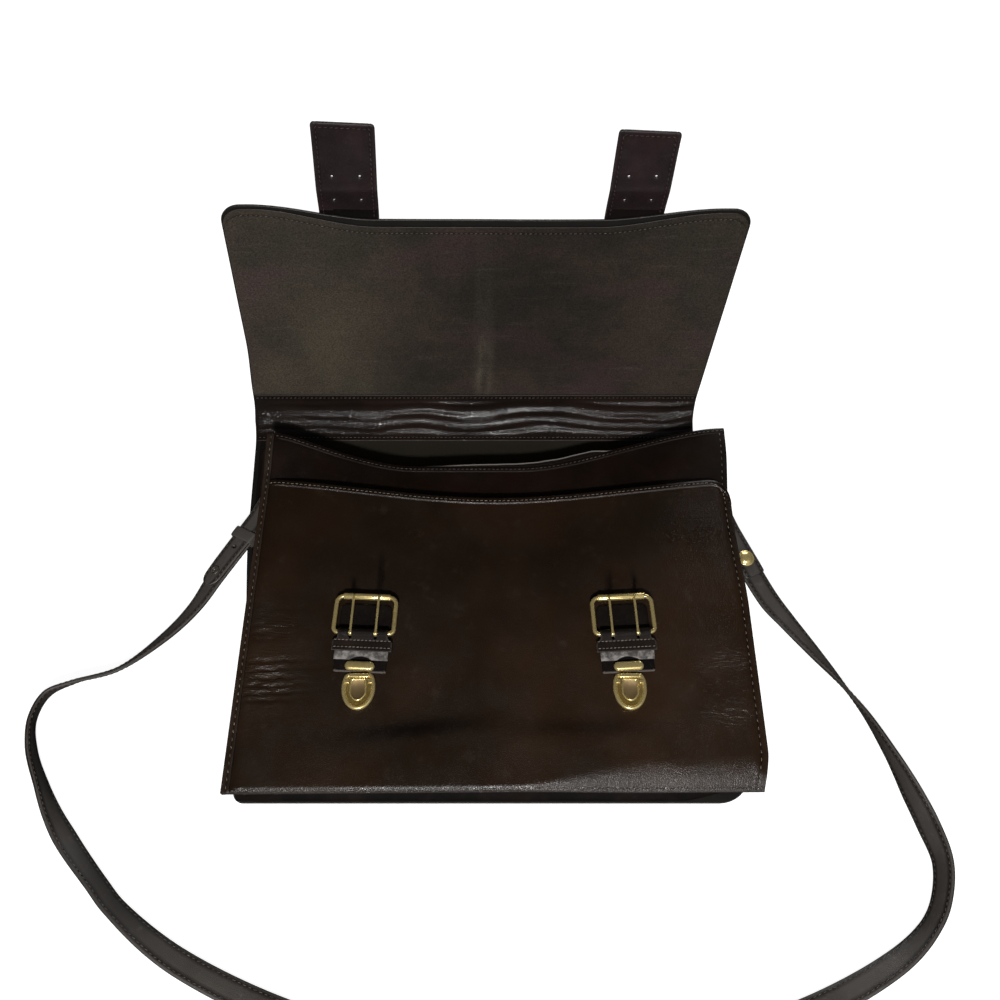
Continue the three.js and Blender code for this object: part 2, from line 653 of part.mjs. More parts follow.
for (const closure of CLOSURES) {
  const buckle = new THREE.Group();
  buckle.position.set(closure.x, HASP_CENTRE, FRONT_HEIGHT);
  buckle.rotation.z = degToRad(closure.turn);
  addPiece(buckle, `lock_tab_${closure.name}`, lockTab(), LEATHER);
  addPiece(buckle, `buckle_chape_${closure.name}`, buckleChape(), LEATHER);
  addPiece(buckle, `buckle_frame_${closure.name}`, buckleFrame(), BRASS);
  addPiece(buckle, `buckle_roller_${closure.name}`, buckleRoller(), BRASS);
  addPiece(buckle, `lock_hasp_${closure.name}`, lockHasp(), BRASS);
  for (const [side, place] of [[-1, 'west'], [1, 'east']]) {
    const tongue = addPiece(buckle, `buckle_tongue_${closure.name}_${place}`, buckleTongue(), BRASS);
    tongue.position.x = side * TONGUE.spacing / 2;
  }
  const lock = new THREE.Group();
  lock.position.set(closure.x, LOCK_TOP, FRONT_HEIGHT);
  addPiece(lock, `lock_plate_${closure.name}`, lockPlate(), BRASS);
  addPiece(lock, `lock_latch_${closure.name}`, lockLatch(), BRASS);
  bag.add(buckle, lock);
}

// Flap straps, drawn flat and laid against the outer face of the flap

function flapStrap(strap) {
  const half = FLAP_STRAP.width / 2;
  const { start, corner } = FLAP_STRAP;
  const outline = roundedRect(-half, start, half, strap.reach, corner, corner);
  for (const row of STRAP_HOLES.rows) {
    for (const column of [-1, 1]) {
      outline.holes.push(circleHole(column * STRAP_HOLES.spacing / 2, row, STRAP_HOLES.radius));
    }
  }
  const flat = plate(outline, FLAP_STRAP.thickness, 3);
  const spots = flat.attributes.position;
  for (let i = 0; i < spots.count; i += 1) {
    const depth = -GAP - FLAP_STRAP.thickness + spots.getZ(i);
    const spot = backPoint(strap.x + spots.getX(i), HINGE_END + spots.getY(i), depth);
    spots.setXYZ(i, spot.x, spot.y, spot.z);
  }
  return flat;
}

for (const strap of FLAP_STRAPS) {
  addPiece(bag, `flap_strap_${strap.name}`, flapStrap(strap), LEATHER);
}

// Shoulder strap

const strapSpots = STRAP_ROUTE.map((row) => new THREE.Vector3(row.x, row.y, row.lift));
const strapTurns = STRAP_ROUTE.map((row) => new THREE.Vector3(row.roll, 0, 0));
const strapLine = new THREE.CatmullRomCurve3(strapSpots);
const strapRoll = new THREE.CatmullRomCurve3(strapTurns);

function strapCentre(t) {
  const spot = strapLine.getPoint(t);
  const roll = degToRad(strapRoll.getPoint(t).x);
  const half = (STRAP_WIDTH * Math.abs(Math.sin(roll)) + STRAP_HIDE * Math.abs(Math.cos(roll))) / 2;
  spot.z = Math.max(spot.z, 0) + half;
  return { spot, roll };
}

// The strap's frame: along it, out to its left edge, and up from its good side.
function strapFrame(t) {
  const step = 1e-3;
  const { spot, roll } = strapCentre(t);
  const ahead = strapCentre(Math.min(t + step, 1)).spot;
  const behind = strapCentre(Math.max(t - step, 0)).spot;
  const along = ahead.sub(behind).normalize();
  const left = new THREE.Vector3().crossVectors(AXIS_Z, along).normalize().applyAxisAngle(along, roll);
  const up = new THREE.Vector3().crossVectors(along, left);
  return { spot, along, left, up };
}

function bandSection(spot, left, up, width = STRAP_WIDTH) {
  const corners = [[-1, -1], [1, -1], [1, 1], [-1, 1]];
  return corners.map(([a, b]) => {
    return spot.clone().addScaledVector(left, a * width / 2).addScaledVector(up, b * STRAP_HIDE / 2);
  });
}

function shoulderStrap() {
  const spans = (STRAP_ROUTE.length - 1) * STRAP_STEPS;
  const sections = [];
  for (let i = 0; i <= spans; i += 1) {
    const { spot, left, up } = strapFrame(i / spans);
    sections.push(bandSection(spot, left, up));
  }
  return loft(sections);
}

// The frame at a length from one end of the strap, looking away from the ring.
const strapLength = strapLine.getLength();

function endFrame(side, length) {
  const t = strapLine.getUtoTmapping(side < 0 ? length / strapLength : 1 - length / strapLength);
  const frame = strapFrame(t);
  frame.along.multiplyScalar(-side);
  frame.left.multiplyScalar(-side);
  return frame;
}

const FOLD_RISE = RING.wire + GAP + STRAP_HIDE / 2;

function foldGap(length) {
  return lerp(2 * (RING.wire + GAP), GAP, smoothstep(length, 0, FOLD_CLOSES));
}

// The strap's end lies on the strap, closes over the ring's bar and meets the strap below it.
function strapFold(end) {
  const sections = [];
  const steps = 12;
  for (let i = 0; i <= steps; i += 1) {
    const length = end.fold * (1 - (i / steps) ** 1.5);
    const { spot, left, up } = endFrame(end.side, length);
    const tip = end.round ? STRAP_WIDTH / 2 : 3;
    const narrow = 2 * cornerDrop(end.fold - length, tip) * (end.round ? 0.75 : 0.5);
    const lifted = spot.clone().addScaledVector(up, STRAP_HIDE + foldGap(length));
    sections.push(bandSection(lifted, left, up, STRAP_WIDTH - narrow));
  }
  const { spot, along, left, up } = endFrame(end.side, 0);
  const bar = spot.clone().addScaledVector(up, FOLD_RISE);
  const turns = 6;
  for (let i = 1; i <= turns; i += 1) {
    const angle = Math.PI * i / turns;
    const out = up.clone().multiplyScalar(Math.cos(angle)).addScaledVector(along, -Math.sin(angle));
    sections.push(bandSection(bar.clone().addScaledVector(out, FOLD_RISE), left, out));
  }
  const meet = sections.at(-1).map((corner) => corner.clone().addScaledVector(along, -GAP));
  sections[sections.length - 1] = meet;
  return loft(sections);
}

function placed(geometry, x, y, z, spot) {
  return geometry.applyMatrix4(new THREE.Matrix4().makeBasis(x, y, z).setPosition(spot));
}

function sideRing(end) {
  const { spot, along, left, up } = endFrame(end.side, 0);
  const half = RING.inner / 2 + RING.wire;
  const line = roundedRect(-half, 0, half, RING.depth, RING.corner, RING.corner);
  const bar = spot.clone().addScaledVector(up, FOLD_RISE);
  const inward = along.clone().negate();
  return placed(wireLoop(line, RING.wire, 0, 6), left, inward, up, bar);
}

function sideTab(end) {
  const { spot, along, left, up } = endFrame(end.side, 0);
  const hole = RING.wire + GAP;
  const outer = hole + SIDE_TAB.layer;
  const profile = new THREE.Shape();
  profile.absarc(0, 0, outer, 0.3 * Math.PI, 1.7 * Math.PI);
  profile.lineTo(2.2 * outer, -SIDE_TAB.layer);
  profile.lineTo(SIDE_TAB.reach, -SIDE_TAB.layer);
  profile.lineTo(SIDE_TAB.reach, SIDE_TAB.layer);
  profile.lineTo(2.2 * outer, SIDE_TAB.layer);
  profile.holes.push(circleHole(0, 0, hole));
  const inward = along.clone().negate();
  const bar = spot.clone().addScaledVector(up, FOLD_RISE).addScaledVector(inward, RING.depth);
  const blank = plate(profile, SIDE_TAB.width, 5).translate(0, 0, -SIDE_TAB.width / 2);
  const gusset = GUSSET_FOLDS.find((row) => row.name === end.name);
  const wall = foldLine(gusset, bar.y - SIDE_TAB.width / 2, 0.5) + gusset.side * SIDE_TAB.clear;
  const far = -end.side * BODY_WIDTH;
  const beyond = new THREE.Vector3(Math.min(wall, far), 0, -BODY_WIDTH);
  const away = new THREE.Vector3(Math.max(wall, far), BODY_WIDTH, BODY_WIDTH);
  const mouthLow = new THREE.Vector3(-BODY_WIDTH, SIDE_TAB.mouthEnd, -BODY_WIDTH);
  const mouthHigh = new THREE.Vector3(BODY_WIDTH, 2 * BODY_WIDTH, BODY_WIDTH);
  const laid = placed(blank, inward, up, left, bar);
  return cut(laid, [boxBetween(beyond, away), boxBetween(mouthLow, mouthHigh)]);
}

function strapKeeper(end) {
  const { spot, along, left, up } = endFrame(end.side, KEEPER.at);
  const half = STRAP_WIDTH / 2 + KEEPER.clear;
  const low = -STRAP_HIDE / 2 - KEEPER.clear;
  const high = STRAP_HIDE * 1.5 + GAP + KEEPER.clear;
  const wall = KEEPER.wall;
  const ring = roundedRect(-half - wall, low - wall, half + wall, high + wall, 1.5, 1.5);
  const hole = new THREE.Path();
  hole.moveTo(-half, low);
  hole.lineTo(-half, high);
  hole.lineTo(half, high);
  hole.lineTo(half, low);
  ring.holes.push(hole);
  return placed(plate(ring, KEEPER.length, 3).translate(0, 0, -KEEPER.length / 2), left, up, along, spot);
}

// A domed cap seated on the folded end.
function strapCap(end, cap) {
  const { spot, along, left, up } = endFrame(end.side, cap.at);
  const seat = spot.clone().addScaledVector(up, STRAP_HIDE * 1.5 + foldGap(cap.at) + GAP);
  const dome = new THREE.SplineCurve([
    new THREE.Vector2(cap.radius, 0),
    new THREE.Vector2(0.96 * cap.radius, 0.35 * cap.height),
    new THREE.Vector2(0.6 * cap.radius, 0.85 * cap.height),
    new THREE.Vector2(0, cap.height),
  ]);
  const profile = [new THREE.Vector2(0, 0), ...dome.getPoints(5)];
  profile.at(-1).x = 0;
  return placed(new THREE.LatheGeometry(profile, 16), left, up, along, seat);
}

addPiece(bag, 'shoulder_strap', shoulderStrap(), STRAP_LEATHER);
for (const end of STRAP_ENDS) {
  addPiece(bag, `strap_fold_${end.name}`, strapFold(end), STRAP_LEATHER);
  addPiece(bag, `side_ring_${end.name}`, sideRing(end), BRASS);
  addPiece(bag, `side_tab_${end.name}`, sideTab(end), LEATHER);
}
const [leftEnd, rightEnd] = STRAP_ENDS;
addPiece(bag, 'strap_keeper', strapKeeper(leftEnd), STRAP_LEATHER);
addPiece(bag, 'strap_stud', strapCap(leftEnd, STUD), DARK_METAL);
addPiece(bag, 'strap_rivet', strapCap(rightEnd, RIVET), BRASS);

export default bag;
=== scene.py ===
# Old dark leather satchel, lying open on its back with the flap standing up behind it.
# Numbers are millimetres from the bottom edge of the bag; toFrame turns them into the frame's metres.
import json
import math

import bmesh
import bpy
import numpy as np
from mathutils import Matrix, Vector, noise


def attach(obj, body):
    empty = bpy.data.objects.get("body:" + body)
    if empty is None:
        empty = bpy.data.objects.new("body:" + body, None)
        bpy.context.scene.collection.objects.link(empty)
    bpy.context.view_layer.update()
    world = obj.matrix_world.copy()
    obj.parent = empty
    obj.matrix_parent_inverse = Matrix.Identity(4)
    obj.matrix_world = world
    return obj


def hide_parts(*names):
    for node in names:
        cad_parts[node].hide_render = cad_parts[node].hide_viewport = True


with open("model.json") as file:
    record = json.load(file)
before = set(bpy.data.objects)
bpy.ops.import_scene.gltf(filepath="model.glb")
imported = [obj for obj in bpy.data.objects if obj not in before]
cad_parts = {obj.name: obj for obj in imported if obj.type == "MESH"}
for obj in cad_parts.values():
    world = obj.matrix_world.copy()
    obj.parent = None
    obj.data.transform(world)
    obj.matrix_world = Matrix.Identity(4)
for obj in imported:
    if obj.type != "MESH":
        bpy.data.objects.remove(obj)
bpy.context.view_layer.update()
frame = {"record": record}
bodies = frame["record"]["behaviour"]["bodies"]
bodyOf = {node: body for body, nodes in bodies.items() for node in nodes}

bag = {"halfWidth": 200.0, "length": 320.0, "gap": 0.3, "hide": 2.0, "softHide": 1.8, "lining": 1.2}
half = bag["halfWidth"]
gap = bag["gap"]


# small maths

def toFrame(points):
    return (np.asarray(points, float) - (0, bag["length"] / 2, 0)) / 1000


def lerp(a, b, t):
    return a + (b - a) * t


def ease(value, low, high):
    t = np.clip((value - low) / (high - low), 0, 1)
    return t * t * (3 - 2 * t)


def bell(value, middle, reach):
    return np.exp(-((value - middle) / reach) ** 2)


def unit(vectors):
    return vectors / np.maximum(np.linalg.norm(vectors, axis=-1, keepdims=True), 1e-9)


def wander(x, y, reachX, reachY, seed, octaves=2):    # smooth noise, about -1 to 1
    x, y = np.broadcast_arrays(np.asarray(x, float), np.asarray(y, float))
    spots = zip((x / reachX).ravel(), (y / reachY).ravel())
    values = [noise.fractal(Vector((a, b, seed)), 0.9, 2.0, octaves) for a, b in spots]
    return np.array(values).reshape(x.shape)


def crowded(count, weight):    # places between 0 and 1, closer together where the weight is high
    t = np.linspace(0, 1, 500)
    share = np.cumsum(weight(t))
    return np.interp(np.linspace(0, 1, count + 2)[1:-1], (share - share[0]) / (share[-1] - share[0]), t)


def graded(low, high, inner, near):    # from low to high, with the near distances kept at both ends
    near = np.array(near)
    ends = [low + step for step in near], [high - step for step in near[::-1]]
    inner = np.linspace(0, 1, inner + 2)[1:-1] if isinstance(inner, int) else inner
    middle = [lerp(low + near[-1], high - near[-1], t) for t in inner]
    return np.stack([np.broadcast_to(row, np.shape(high)) for row in ends[0] + middle + ends[1]])


def spread(count):    # -1 to 1, closer together towards both ends
    return np.sin(np.linspace(-0.5, 0.5, count) * math.pi)


def column(count):    # shares from 0 to 1, one for each row of a grid
    return np.linspace(0, 1, count)[:, None]


def around(count):    # angles of a full circle
    return np.linspace(0, 2 * math.pi, count, endpoint=False)


# nodes

def plug(tree, node, inputs):    # links another node's socket, or sets a plain value
    for socket, value in inputs.items():
        if isinstance(value, bpy.types.NodeSocket):
            tree.links.new(value, node.inputs[socket])
        else:
            node.inputs[socket].default_value = value


def addNode(tree, kind, inputs=None, **fields):
    made = tree.nodes.new(kind)
    for field, value in fields.items():
        setattr(made, field, value)
    plug(tree, made, inputs or {})
    return made


def linked(made):    # puts a new object into the scene
    bpy.context.scene.collection.objects.link(made)
    return made


# studio: camera, light and floor

studio = {
    "cameraSpot": (4.5, -173.5, 782.0),
    "cameraTilt": 29.6,
    "lens": 36.0,
    "sensor": 36.0,
    "nearest": 0.01,
    "floorSize": 8.0,
    "floorDrop": 0.0002,
    "floorGrey": (0.4, 0.4, 0.4, 1),
    "floorRough": 0.9,
    "floorGlow": 0.92,
    "worldDark": 0.02,
    "worldFront": 0.22,
    "worldFades": (-0.2, -0.9),
    "white": (1, 1, 1, 1),
}
softboxes = [
    {"name": "keyBox", "spot": (-0.05, -1.2, 1.3), "aim": (0, 0.05, 0.05), "size": 0.12, "power": 25},
    {"name": "fillBox", "spot": (0.9, -1.0, 1.4), "aim": (0, 0, 0.08), "size": 1.6, "power": 3},
    {"name": "rearBox", "spot": (0.3, 1.9, 0.55), "aim": (0, 0, 0.1), "size": 1.2, "power": 24},
]


def makeCamera(scene):
    lens = bpy.data.cameras.new("photoCamera")
    lens.sensor_width = studio["sensor"]
    lens.lens = studio["lens"]
    lens.clip_start = studio["nearest"]
    viewer = linked(bpy.data.objects.new("photoCamera", lens))
    viewer.location = toFrame(studio["cameraSpot"])
    viewer.rotation_euler = (math.radians(studio["cameraTilt"]), 0, 0)
    scene.camera = viewer


def makeLight(box):
    lamp = bpy.data.lights.new(box["name"], "AREA")
    lamp.energy = box["power"]
    lamp.size = box["size"]
    holder = linked(bpy.data.objects.new(box["name"], lamp))
    holder.location = box["spot"]
    reach = Vector(box["aim"]) - Vector(box["spot"])
    holder.rotation_euler = reach.to_track_quat("-Z", "Y").to_euler()


def makeWorld(scene):
    world = bpy.data.worlds.new("softRoom")
    world.use_nodes = True
    tree = world.node_tree
    way = addNode(tree, "ShaderNodeTexCoord").outputs["Generated"]
    depth = addNode(tree, "ShaderNodeSeparateXYZ", {0: way}).outputs["Y"]
    fadeFrom, fadeTo = studio["worldFades"]
    glow = addNode(tree, "ShaderNodeMapRange", {    # a lighter room in front of the bag
        "Value": depth, "From Min": fadeFrom, "From Max": fadeTo,
        "To Min": studio["worldDark"], "To Max": studio["worldFront"],
    }).outputs[0]
    plug(tree, tree.nodes["Background"], {"Strength": glow, "Color": studio["white"]})
    scene.world = world


def makeFloor():    # only a white ground, it lights nothing
    side, low = studio["floorSize"] / 2, -studio["floorDrop"]
    corners = [(-side, -side, low), (side, -side, low), (side, side, low), (-side, side, low)]
    mesh = bpy.data.meshes.new("floor")
    mesh.from_pydata(corners, [], [(0, 1, 2, 3)])
    floor = linked(bpy.data.objects.new("floor", mesh))
    paper = bpy.data.materials.new("floorPaper")
    paper.use_nodes = True
    plug(paper.node_tree, paper.node_tree.nodes["Principled BSDF"], {
        "Base Color": studio["floorGrey"], "Roughness": studio["floorRough"],
        "Emission Color": studio["white"], "Emission Strength": studio["floorGlow"],
    })
    mesh.materials.append(paper)
    floor.visible_diffuse = False
    floor.visible_glossy = False


def makeStudio():
    scene = bpy.context.scene
    scene.view_settings.view_transform = "Standard"
    makeCamera(scene)
    for box in softboxes:
        makeLight(box)
    makeWorld(scene)
    makeFloor()


makeStudio()
print("studio: camera, lights and floor")


# material building

def newFinish(name):
    finish = bpy.data.materials.new(name)
    finish.use_nodes = True
    tree = finish.node_tree
    place = addNode(tree, "ShaderNodeTexCoord").outputs["Object"]
    return finish, tree, tree.nodes["Principled BSDF"], place


def stretched(tree, place, scale, turn=(0, 0, 0)):
    return addNode(tree, "ShaderNodeMapping", {"Vector": place, "Scale": scale, "Rotation": turn}).outputs[0]


def cloudy(tree, place, scale, detail=3.0, rough=0.55):
    inputs = {"Vector": place, "Scale": scale, "Detail": detail, "Roughness": rough}
    return addNode(tree, "ShaderNodeTexNoise", inputs).outputs[0]


def cells(tree, place, scale):
    inputs = {"Vector": place, "Scale": scale}
    return addNode(tree, "ShaderNodeTexVoronoi", inputs, feature="DISTANCE_TO_EDGE").outputs["Distance"]


def ranged(tree, value, low, high, toLow=0.0, toHigh=1.0):
    inputs = {"Value": value, "From Min": low, "From Max": high, "To Min": toLow, "To Max": toHigh}
    return addNode(tree, "ShaderNodeMapRange", inputs, interpolation_type="SMOOTHSTEP").outputs[0]


def reckon(tree, operation, a, b):
    return addNode(tree, "ShaderNodeMath", {0: a, 1: b}, operation=operation).outputs[0]


def blendColour(tree, share, a, b, mode="MIX"):
    made = addNode(tree, "ShaderNodeMix", data_type="RGBA", blend_type=mode)
    a, b = (value if isinstance(value, bpy.types.NodeSocket) else (*value, 1) for value in (a, b))
    plug(tree, made, {0: share, 6: a, 7: b})
    return made.outputs[2]


def raised(tree, height, strength, depth, below=None):
    inputs = {"Height": height, "Strength": strength, "Distance": depth}
    if below is not None:
        inputs["Normal"] = below
    return addNode(tree, "ShaderNodeBump", inputs).outputs[0]


def mark(tree, name):
    return addNode(tree, "ShaderNodeAttribute", attribute_name=name).outputs["Fac"]


# leather with a fine grain: two browns in clouds, worn lighter spots, dark seams

hideLooks = {
    "frontHide": {
        "base": (0.0158, 0.0088, 0.0044), "warm": (0.027, 0.0132, 0.006), "worn": (0.052, 0.035, 0.0245),
        "patch": 11, "grain": 820, "grainDepth": 0.0002, "rough": (0.3, 0.43), "wear": 0.45, "shine": 0.38,
        "creases": 0.0006,
    },
    "dividerHide": {
        "base": (0.006, 0.003, 0.0017), "warm": (0.0115, 0.0048, 0.0028), "worn": (0.045, 0.028, 0.022),
        "patch": 13, "grain": 860, "grainDepth": 0.0002, "rough": (0.4, 0.56), "wear": 0.2, "shine": 0.18,
    },
    # its worn tone is the painted highlight on the facing's edge
    "facingHide": {
        "base": (0.02, 0.015, 0.012), "warm": (0.03, 0.022, 0.018), "worn": (0.24, 0.215, 0.19),
        "patch": 60, "grain": 900, "grainDepth": 0.0002, "rough": (0.5, 0.62), "wear": 0.1,
    },
    "outerHide": {
        "base": (0.015, 0.0085, 0.006), "warm": (0.026, 0.012, 0.008), "worn": (0.05, 0.034, 0.026),
        "patch": 9, "grain": 800, "grainDepth": 0.00024, "rough": (0.32, 0.52), "wear": 0.5,
    },
    # painted shade: the gusset hide is kept near black, as the bottom wall lies in shade under the panel's
    # roll
    "gussetShadedHide": {
        "base": (0.0036, 0.0026, 0.0021), "warm": (0.0075, 0.0046, 0.0036), "worn": (0.024, 0.017, 0.014),
        "patch": 12, "grain": 820, "grainDepth": 0.00024, "rough": (0.6, 0.76), "wear": 0.25, "shine": 0.1,
    },
    "tabHide": {
        "base": (0.006, 0.0045, 0.004), "warm": (0.011, 0.0075, 0.006), "worn": (0.16, 0.135, 0.12),
        "patch": 40, "grain": 700, "grainDepth": 0.0003, "rough": (0.52, 0.68), "wear": 0.12, "shine": 0.08,
    },
    "chapeHide": {
        "base": (0.013, 0.009, 0.0068), "warm": (0.021, 0.0135, 0.01), "worn": (0.16, 0.135, 0.12),
        "patch": 40, "grain": 700, "grainDepth": 0.0003, "rough": (0.5, 0.66), "wear": 0.15, "shine": 0.12,
    },
    "bandHide": {
        "base": (0.0105, 0.007, 0.0056), "warm": (0.017, 0.0104, 0.0078), "worn": (0.05, 0.037, 0.03),
        "patch": 15, "grain": 800, "grainDepth": 0.00018, "rough": (0.13, 0.2), "wear": 0.15, "shine": 0.2,
    },
    "flapStrapHide": {
        "base": (0.0115, 0.006, 0.0066), "warm": (0.022, 0.009, 0.01), "worn": (0.045, 0.03, 0.03),
        "patch": 28, "grain": 900, "grainDepth": 0.0002, "rough": (0.34, 0.5), "wear": 0.3, "shine": 0.32,
    },
    "strapHide": {
        "base": (0.03, 0.0255, 0.0225), "warm": (0.05, 0.0425, 0.037), "worn": (0.13, 0.115, 0.102),
        "patch": 24, "grain": 950, "grainDepth": 0.0002, "rough": (0.36, 0.54), "wear": 0.5,
    },
}


hideDetail = {
    "patchEdges": (0.4, 0.68), "rubScale": 6, "rubEdges": (0.56, 0.8), "seamDark": (0.004, 0.0025, 0.002),
    "glossScale": 2.5, "glossEdges": (0.3, 0.7), "wornGloss": 0.12, "seamGloss": -0.16, "plainShine": 0.42,
    "pebbleEdge": 0.32, "pebbleHeight": 0.45, "foldScale": 0.16, "foldHeight": 0.22, "foldDepth": 3,
    "foldStretch": (1, 1.9, 1),
}
bentLines = {"scale": 190, "stretch": (0.22, 1, 0.3), "turn": (0, 0, -0.14), "edge": 0.1, "height": 0.55}


def hideFinish(name):
    looks, detail = hideLooks[name], hideDetail
    finish, tree, shader, place = newFinish(name)
    worn, seam = mark(tree, "wear"), mark(tree, "seam")
    patches = ranged(tree, cloudy(tree, place, looks["patch"], 4), *detail["patchEdges"])
    colour = blendColour(tree, patches, looks["base"], looks["warm"])
    rubbed = cloudy(tree, place, looks["patch"] * detail["rubScale"], 6, 0.65)
    rubbed = ranged(tree, rubbed, *detail["rubEdges"], 0, looks["wear"])
    for share, tone in ((rubbed, looks["worn"]), (worn, looks["worn"]), (seam, detail["seamDark"])):
        colour = blendColour(tree, share, colour, tone)
    gloss = cloudy(tree, place, looks["patch"] * detail["glossScale"], 3)
    gloss = ranged(tree, gloss, *detail["glossEdges"], *looks["rough"])
    for share, change in ((worn, detail["wornGloss"]), (seam, detail["seamGloss"])):
        gloss = reckon(tree, "ADD", gloss, reckon(tree, "MULTIPLY", share, change))
    folds = stretched(tree, place, detail["foldStretch"])
    folds = cloudy(tree, folds, looks["grain"] * detail["foldScale"], 4, 0.6)
    bumps = raised(tree, folds, detail["foldHeight"], looks["grainDepth"] * detail["foldDepth"])
    pebbles = ranged(tree, cells(tree, place, looks["grain"]), 0.0, detail["pebbleEdge"])
    bumps = raised(tree, pebbles, detail["pebbleHeight"], looks["grainDepth"], bumps)
    if "creases" in looks:    # fine lines across the leather where it has been bent
        lines = stretched(tree, place, bentLines["stretch"], bentLines["turn"])
        lines = reckon(tree, "SUBTRACT", cloudy(tree, lines, bentLines["scale"], 2, 0.5), 0.5)
        lines = ranged(tree, reckon(tree, "ABSOLUTE", lines, 0), 0, bentLines["edge"])
        lines = reckon(tree, "MULTIPLY", lines, mark(tree, "crease"))
        bumps = raised(tree, lines, bentLines["height"], looks["creases"], bumps)
    plug(tree, shader, {
        "Base Color": colour, "Roughness": gloss, "Normal": bumps,
        "Specular IOR Level": looks.get("shine", detail["plainShine"]),
    })
    return finish


# two tones in clouds, with a fine nap
plainLooks = {
    "edgePaint": {    # cut edges, painted and rubbed
        "dark": (0.014, 0.01, 0.008), "light": (0.11, 0.088, 0.075), "cloud": 160, "cloudRough": 0.55,
        "edges": (0.55, 0.78, 0, 0.6), "nap": 700, "napRough": 0.55, "napHeight": 0.3, "napDepth": 0.0003,
        "rough": 0.5, "shine": 0.5,
    },
    "shadedFleshSide": {    # the rough back of a hide, painted near black as shade where it shows
        "dark": (0.006, 0.0053, 0.0043), "light": (0.0145, 0.0128, 0.0102), "cloud": 45, "cloudRough": 0.6,
        "nap": 1500, "napRough": 0.7, "napHeight": 0.5, "napDepth": 0.0003, "rough": 0.85, "shine": 0.15,
    },
    "scuffedFlesh": {    # the pale back of the chape
        "dark": (0.07, 0.062, 0.056), "light": (0.38, 0.35, 0.325), "cloud": 190, "cloudRough": 0.65,
        "edges": (0.35, 0.7), "nap": 900, "napRough": 0.7, "napHeight": 0.5, "napDepth": 0.0004,
        "rough": 0.7, "shine": 0.5,
    },
}


def plainFinish(name):
    looks = plainLooks[name]
    finish, tree, shader, place = newFinish(name)
    tone = cloudy(tree, place, looks["cloud"], 5, looks["cloudRough"])
    if "edges" in looks:
        tone = ranged(tree, tone, *looks["edges"])
    nap = cloudy(tree, place, looks["nap"], 4, looks["napRough"])
    plug(tree, shader, {
        "Base Color": blendColour(tree, tone, looks["dark"], looks["light"]),
        "Normal": raised(tree, nap, looks["napHeight"], looks["napDepth"]),
        "Roughness": looks["rough"], "Specular IOR Level": looks["shine"],
    })
    return finish


suedeLooks = {
    "brown": (0.042, 0.0295, 0.0228), "green": (0.023, 0.02, 0.0155), "rose": (0.044, 0.028, 0.027),
    "gold": (0.056, 0.0455, 0.031), "pale": (0.135, 0.114, 0.086), "dark": (0.006, 0.0045, 0.0035),
    "cloudEdges": (0.38, 0.62), "roseEdges": (0.5, 0.7), "goldEdges": (0.34, 0.66),
    "scuffEdges": (0.55, 0.8), "scuffs": 0.3, "napEdges": (0.3, 0.7), "napShare": 0.9,
    "napLow": (0.2, 0.2, 0.2), "napHigh": (0.8, 0.8, 0.8), "napDepth": 0.0002, "brushDepth": 0.0008,
    "rough": 0.92, "shine": 0.12, "sheen": 0.03, "sheenRough": 0.5,
}


def suedeFinish():
    looks = suedeLooks
    finish, tree, shader, place = newFinish("flapSuede")
    clouds = ranged(tree, cloudy(tree, place, 11, 6, 0.66), *looks["cloudEdges"])
    colour = blendColour(tree, clouds, looks["brown"], looks["green"])
    rose = cloudy(tree, stretched(tree, place, (1, 1, 1.6), (0.4, 0.2, 0.9)), 9, 4)
    colour = blendColour(tree, ranged(tree, rose, *looks["roseEdges"]), colour, looks["rose"])
    gold = cloudy(tree, stretched(tree, place, (1, 1, 0.8), (0.9, 0.5, 0.1)), 13, 5)
    gold = reckon(tree, "MULTIPLY", ranged(tree, gold, *looks["goldEdges"]), mark(tree, "gold"))
    colour = blendColour(tree, gold, colour, looks["gold"])
    scuffs = cloudy(tree, stretched(tree, place, (0.3, 1, 2.4)), 75, 7, 0.72)
    scuffs = ranged(tree, scuffs, *looks["scuffEdges"], 0, looks["scuffs"])
    for share in (scuffs, mark(tree, "wear")):
        colour = blendColour(tree, share, colour, looks["pale"])
    nap = cloudy(tree, place, 720, 5, 0.88)
    tuft = blendColour(tree, ranged(tree, nap, *looks["napEdges"]), looks["napLow"], looks["napHigh"])
    colour = blendColour(tree, looks["napShare"], colour, tuft, "OVERLAY")
    colour = blendColour(tree, mark(tree, "seam"), colour, looks["dark"])
    brushed = cloudy(tree, stretched(tree, place, (0.5, 1, 1.5)), 120, 5, 0.65)
    brushed = raised(tree, brushed, 0.12, looks["brushDepth"])
    plug(tree, shader, {
        "Base Color": colour, "Normal": raised(tree, nap, 0.5, looks["napDepth"], brushed),
        "Roughness": looks["rough"], "Specular IOR Level": looks["shine"],
        "Sheen Weight": looks["sheen"], "Sheen Roughness": looks["sheenRough"],
    })
    return finish


liningLooks = {
    "dark": (0.0135, 0.0112, 0.0076), "light": (0.0225, 0.019, 0.0132), "yarn": (0.029, 0.0248, 0.0175),
    "cornerShade": (0.006, 0.005, 0.004), "weave": 260.0, "uneven": 0.6, "depth": 0.0003, "rough": 0.9, "shine": 0.1,
}


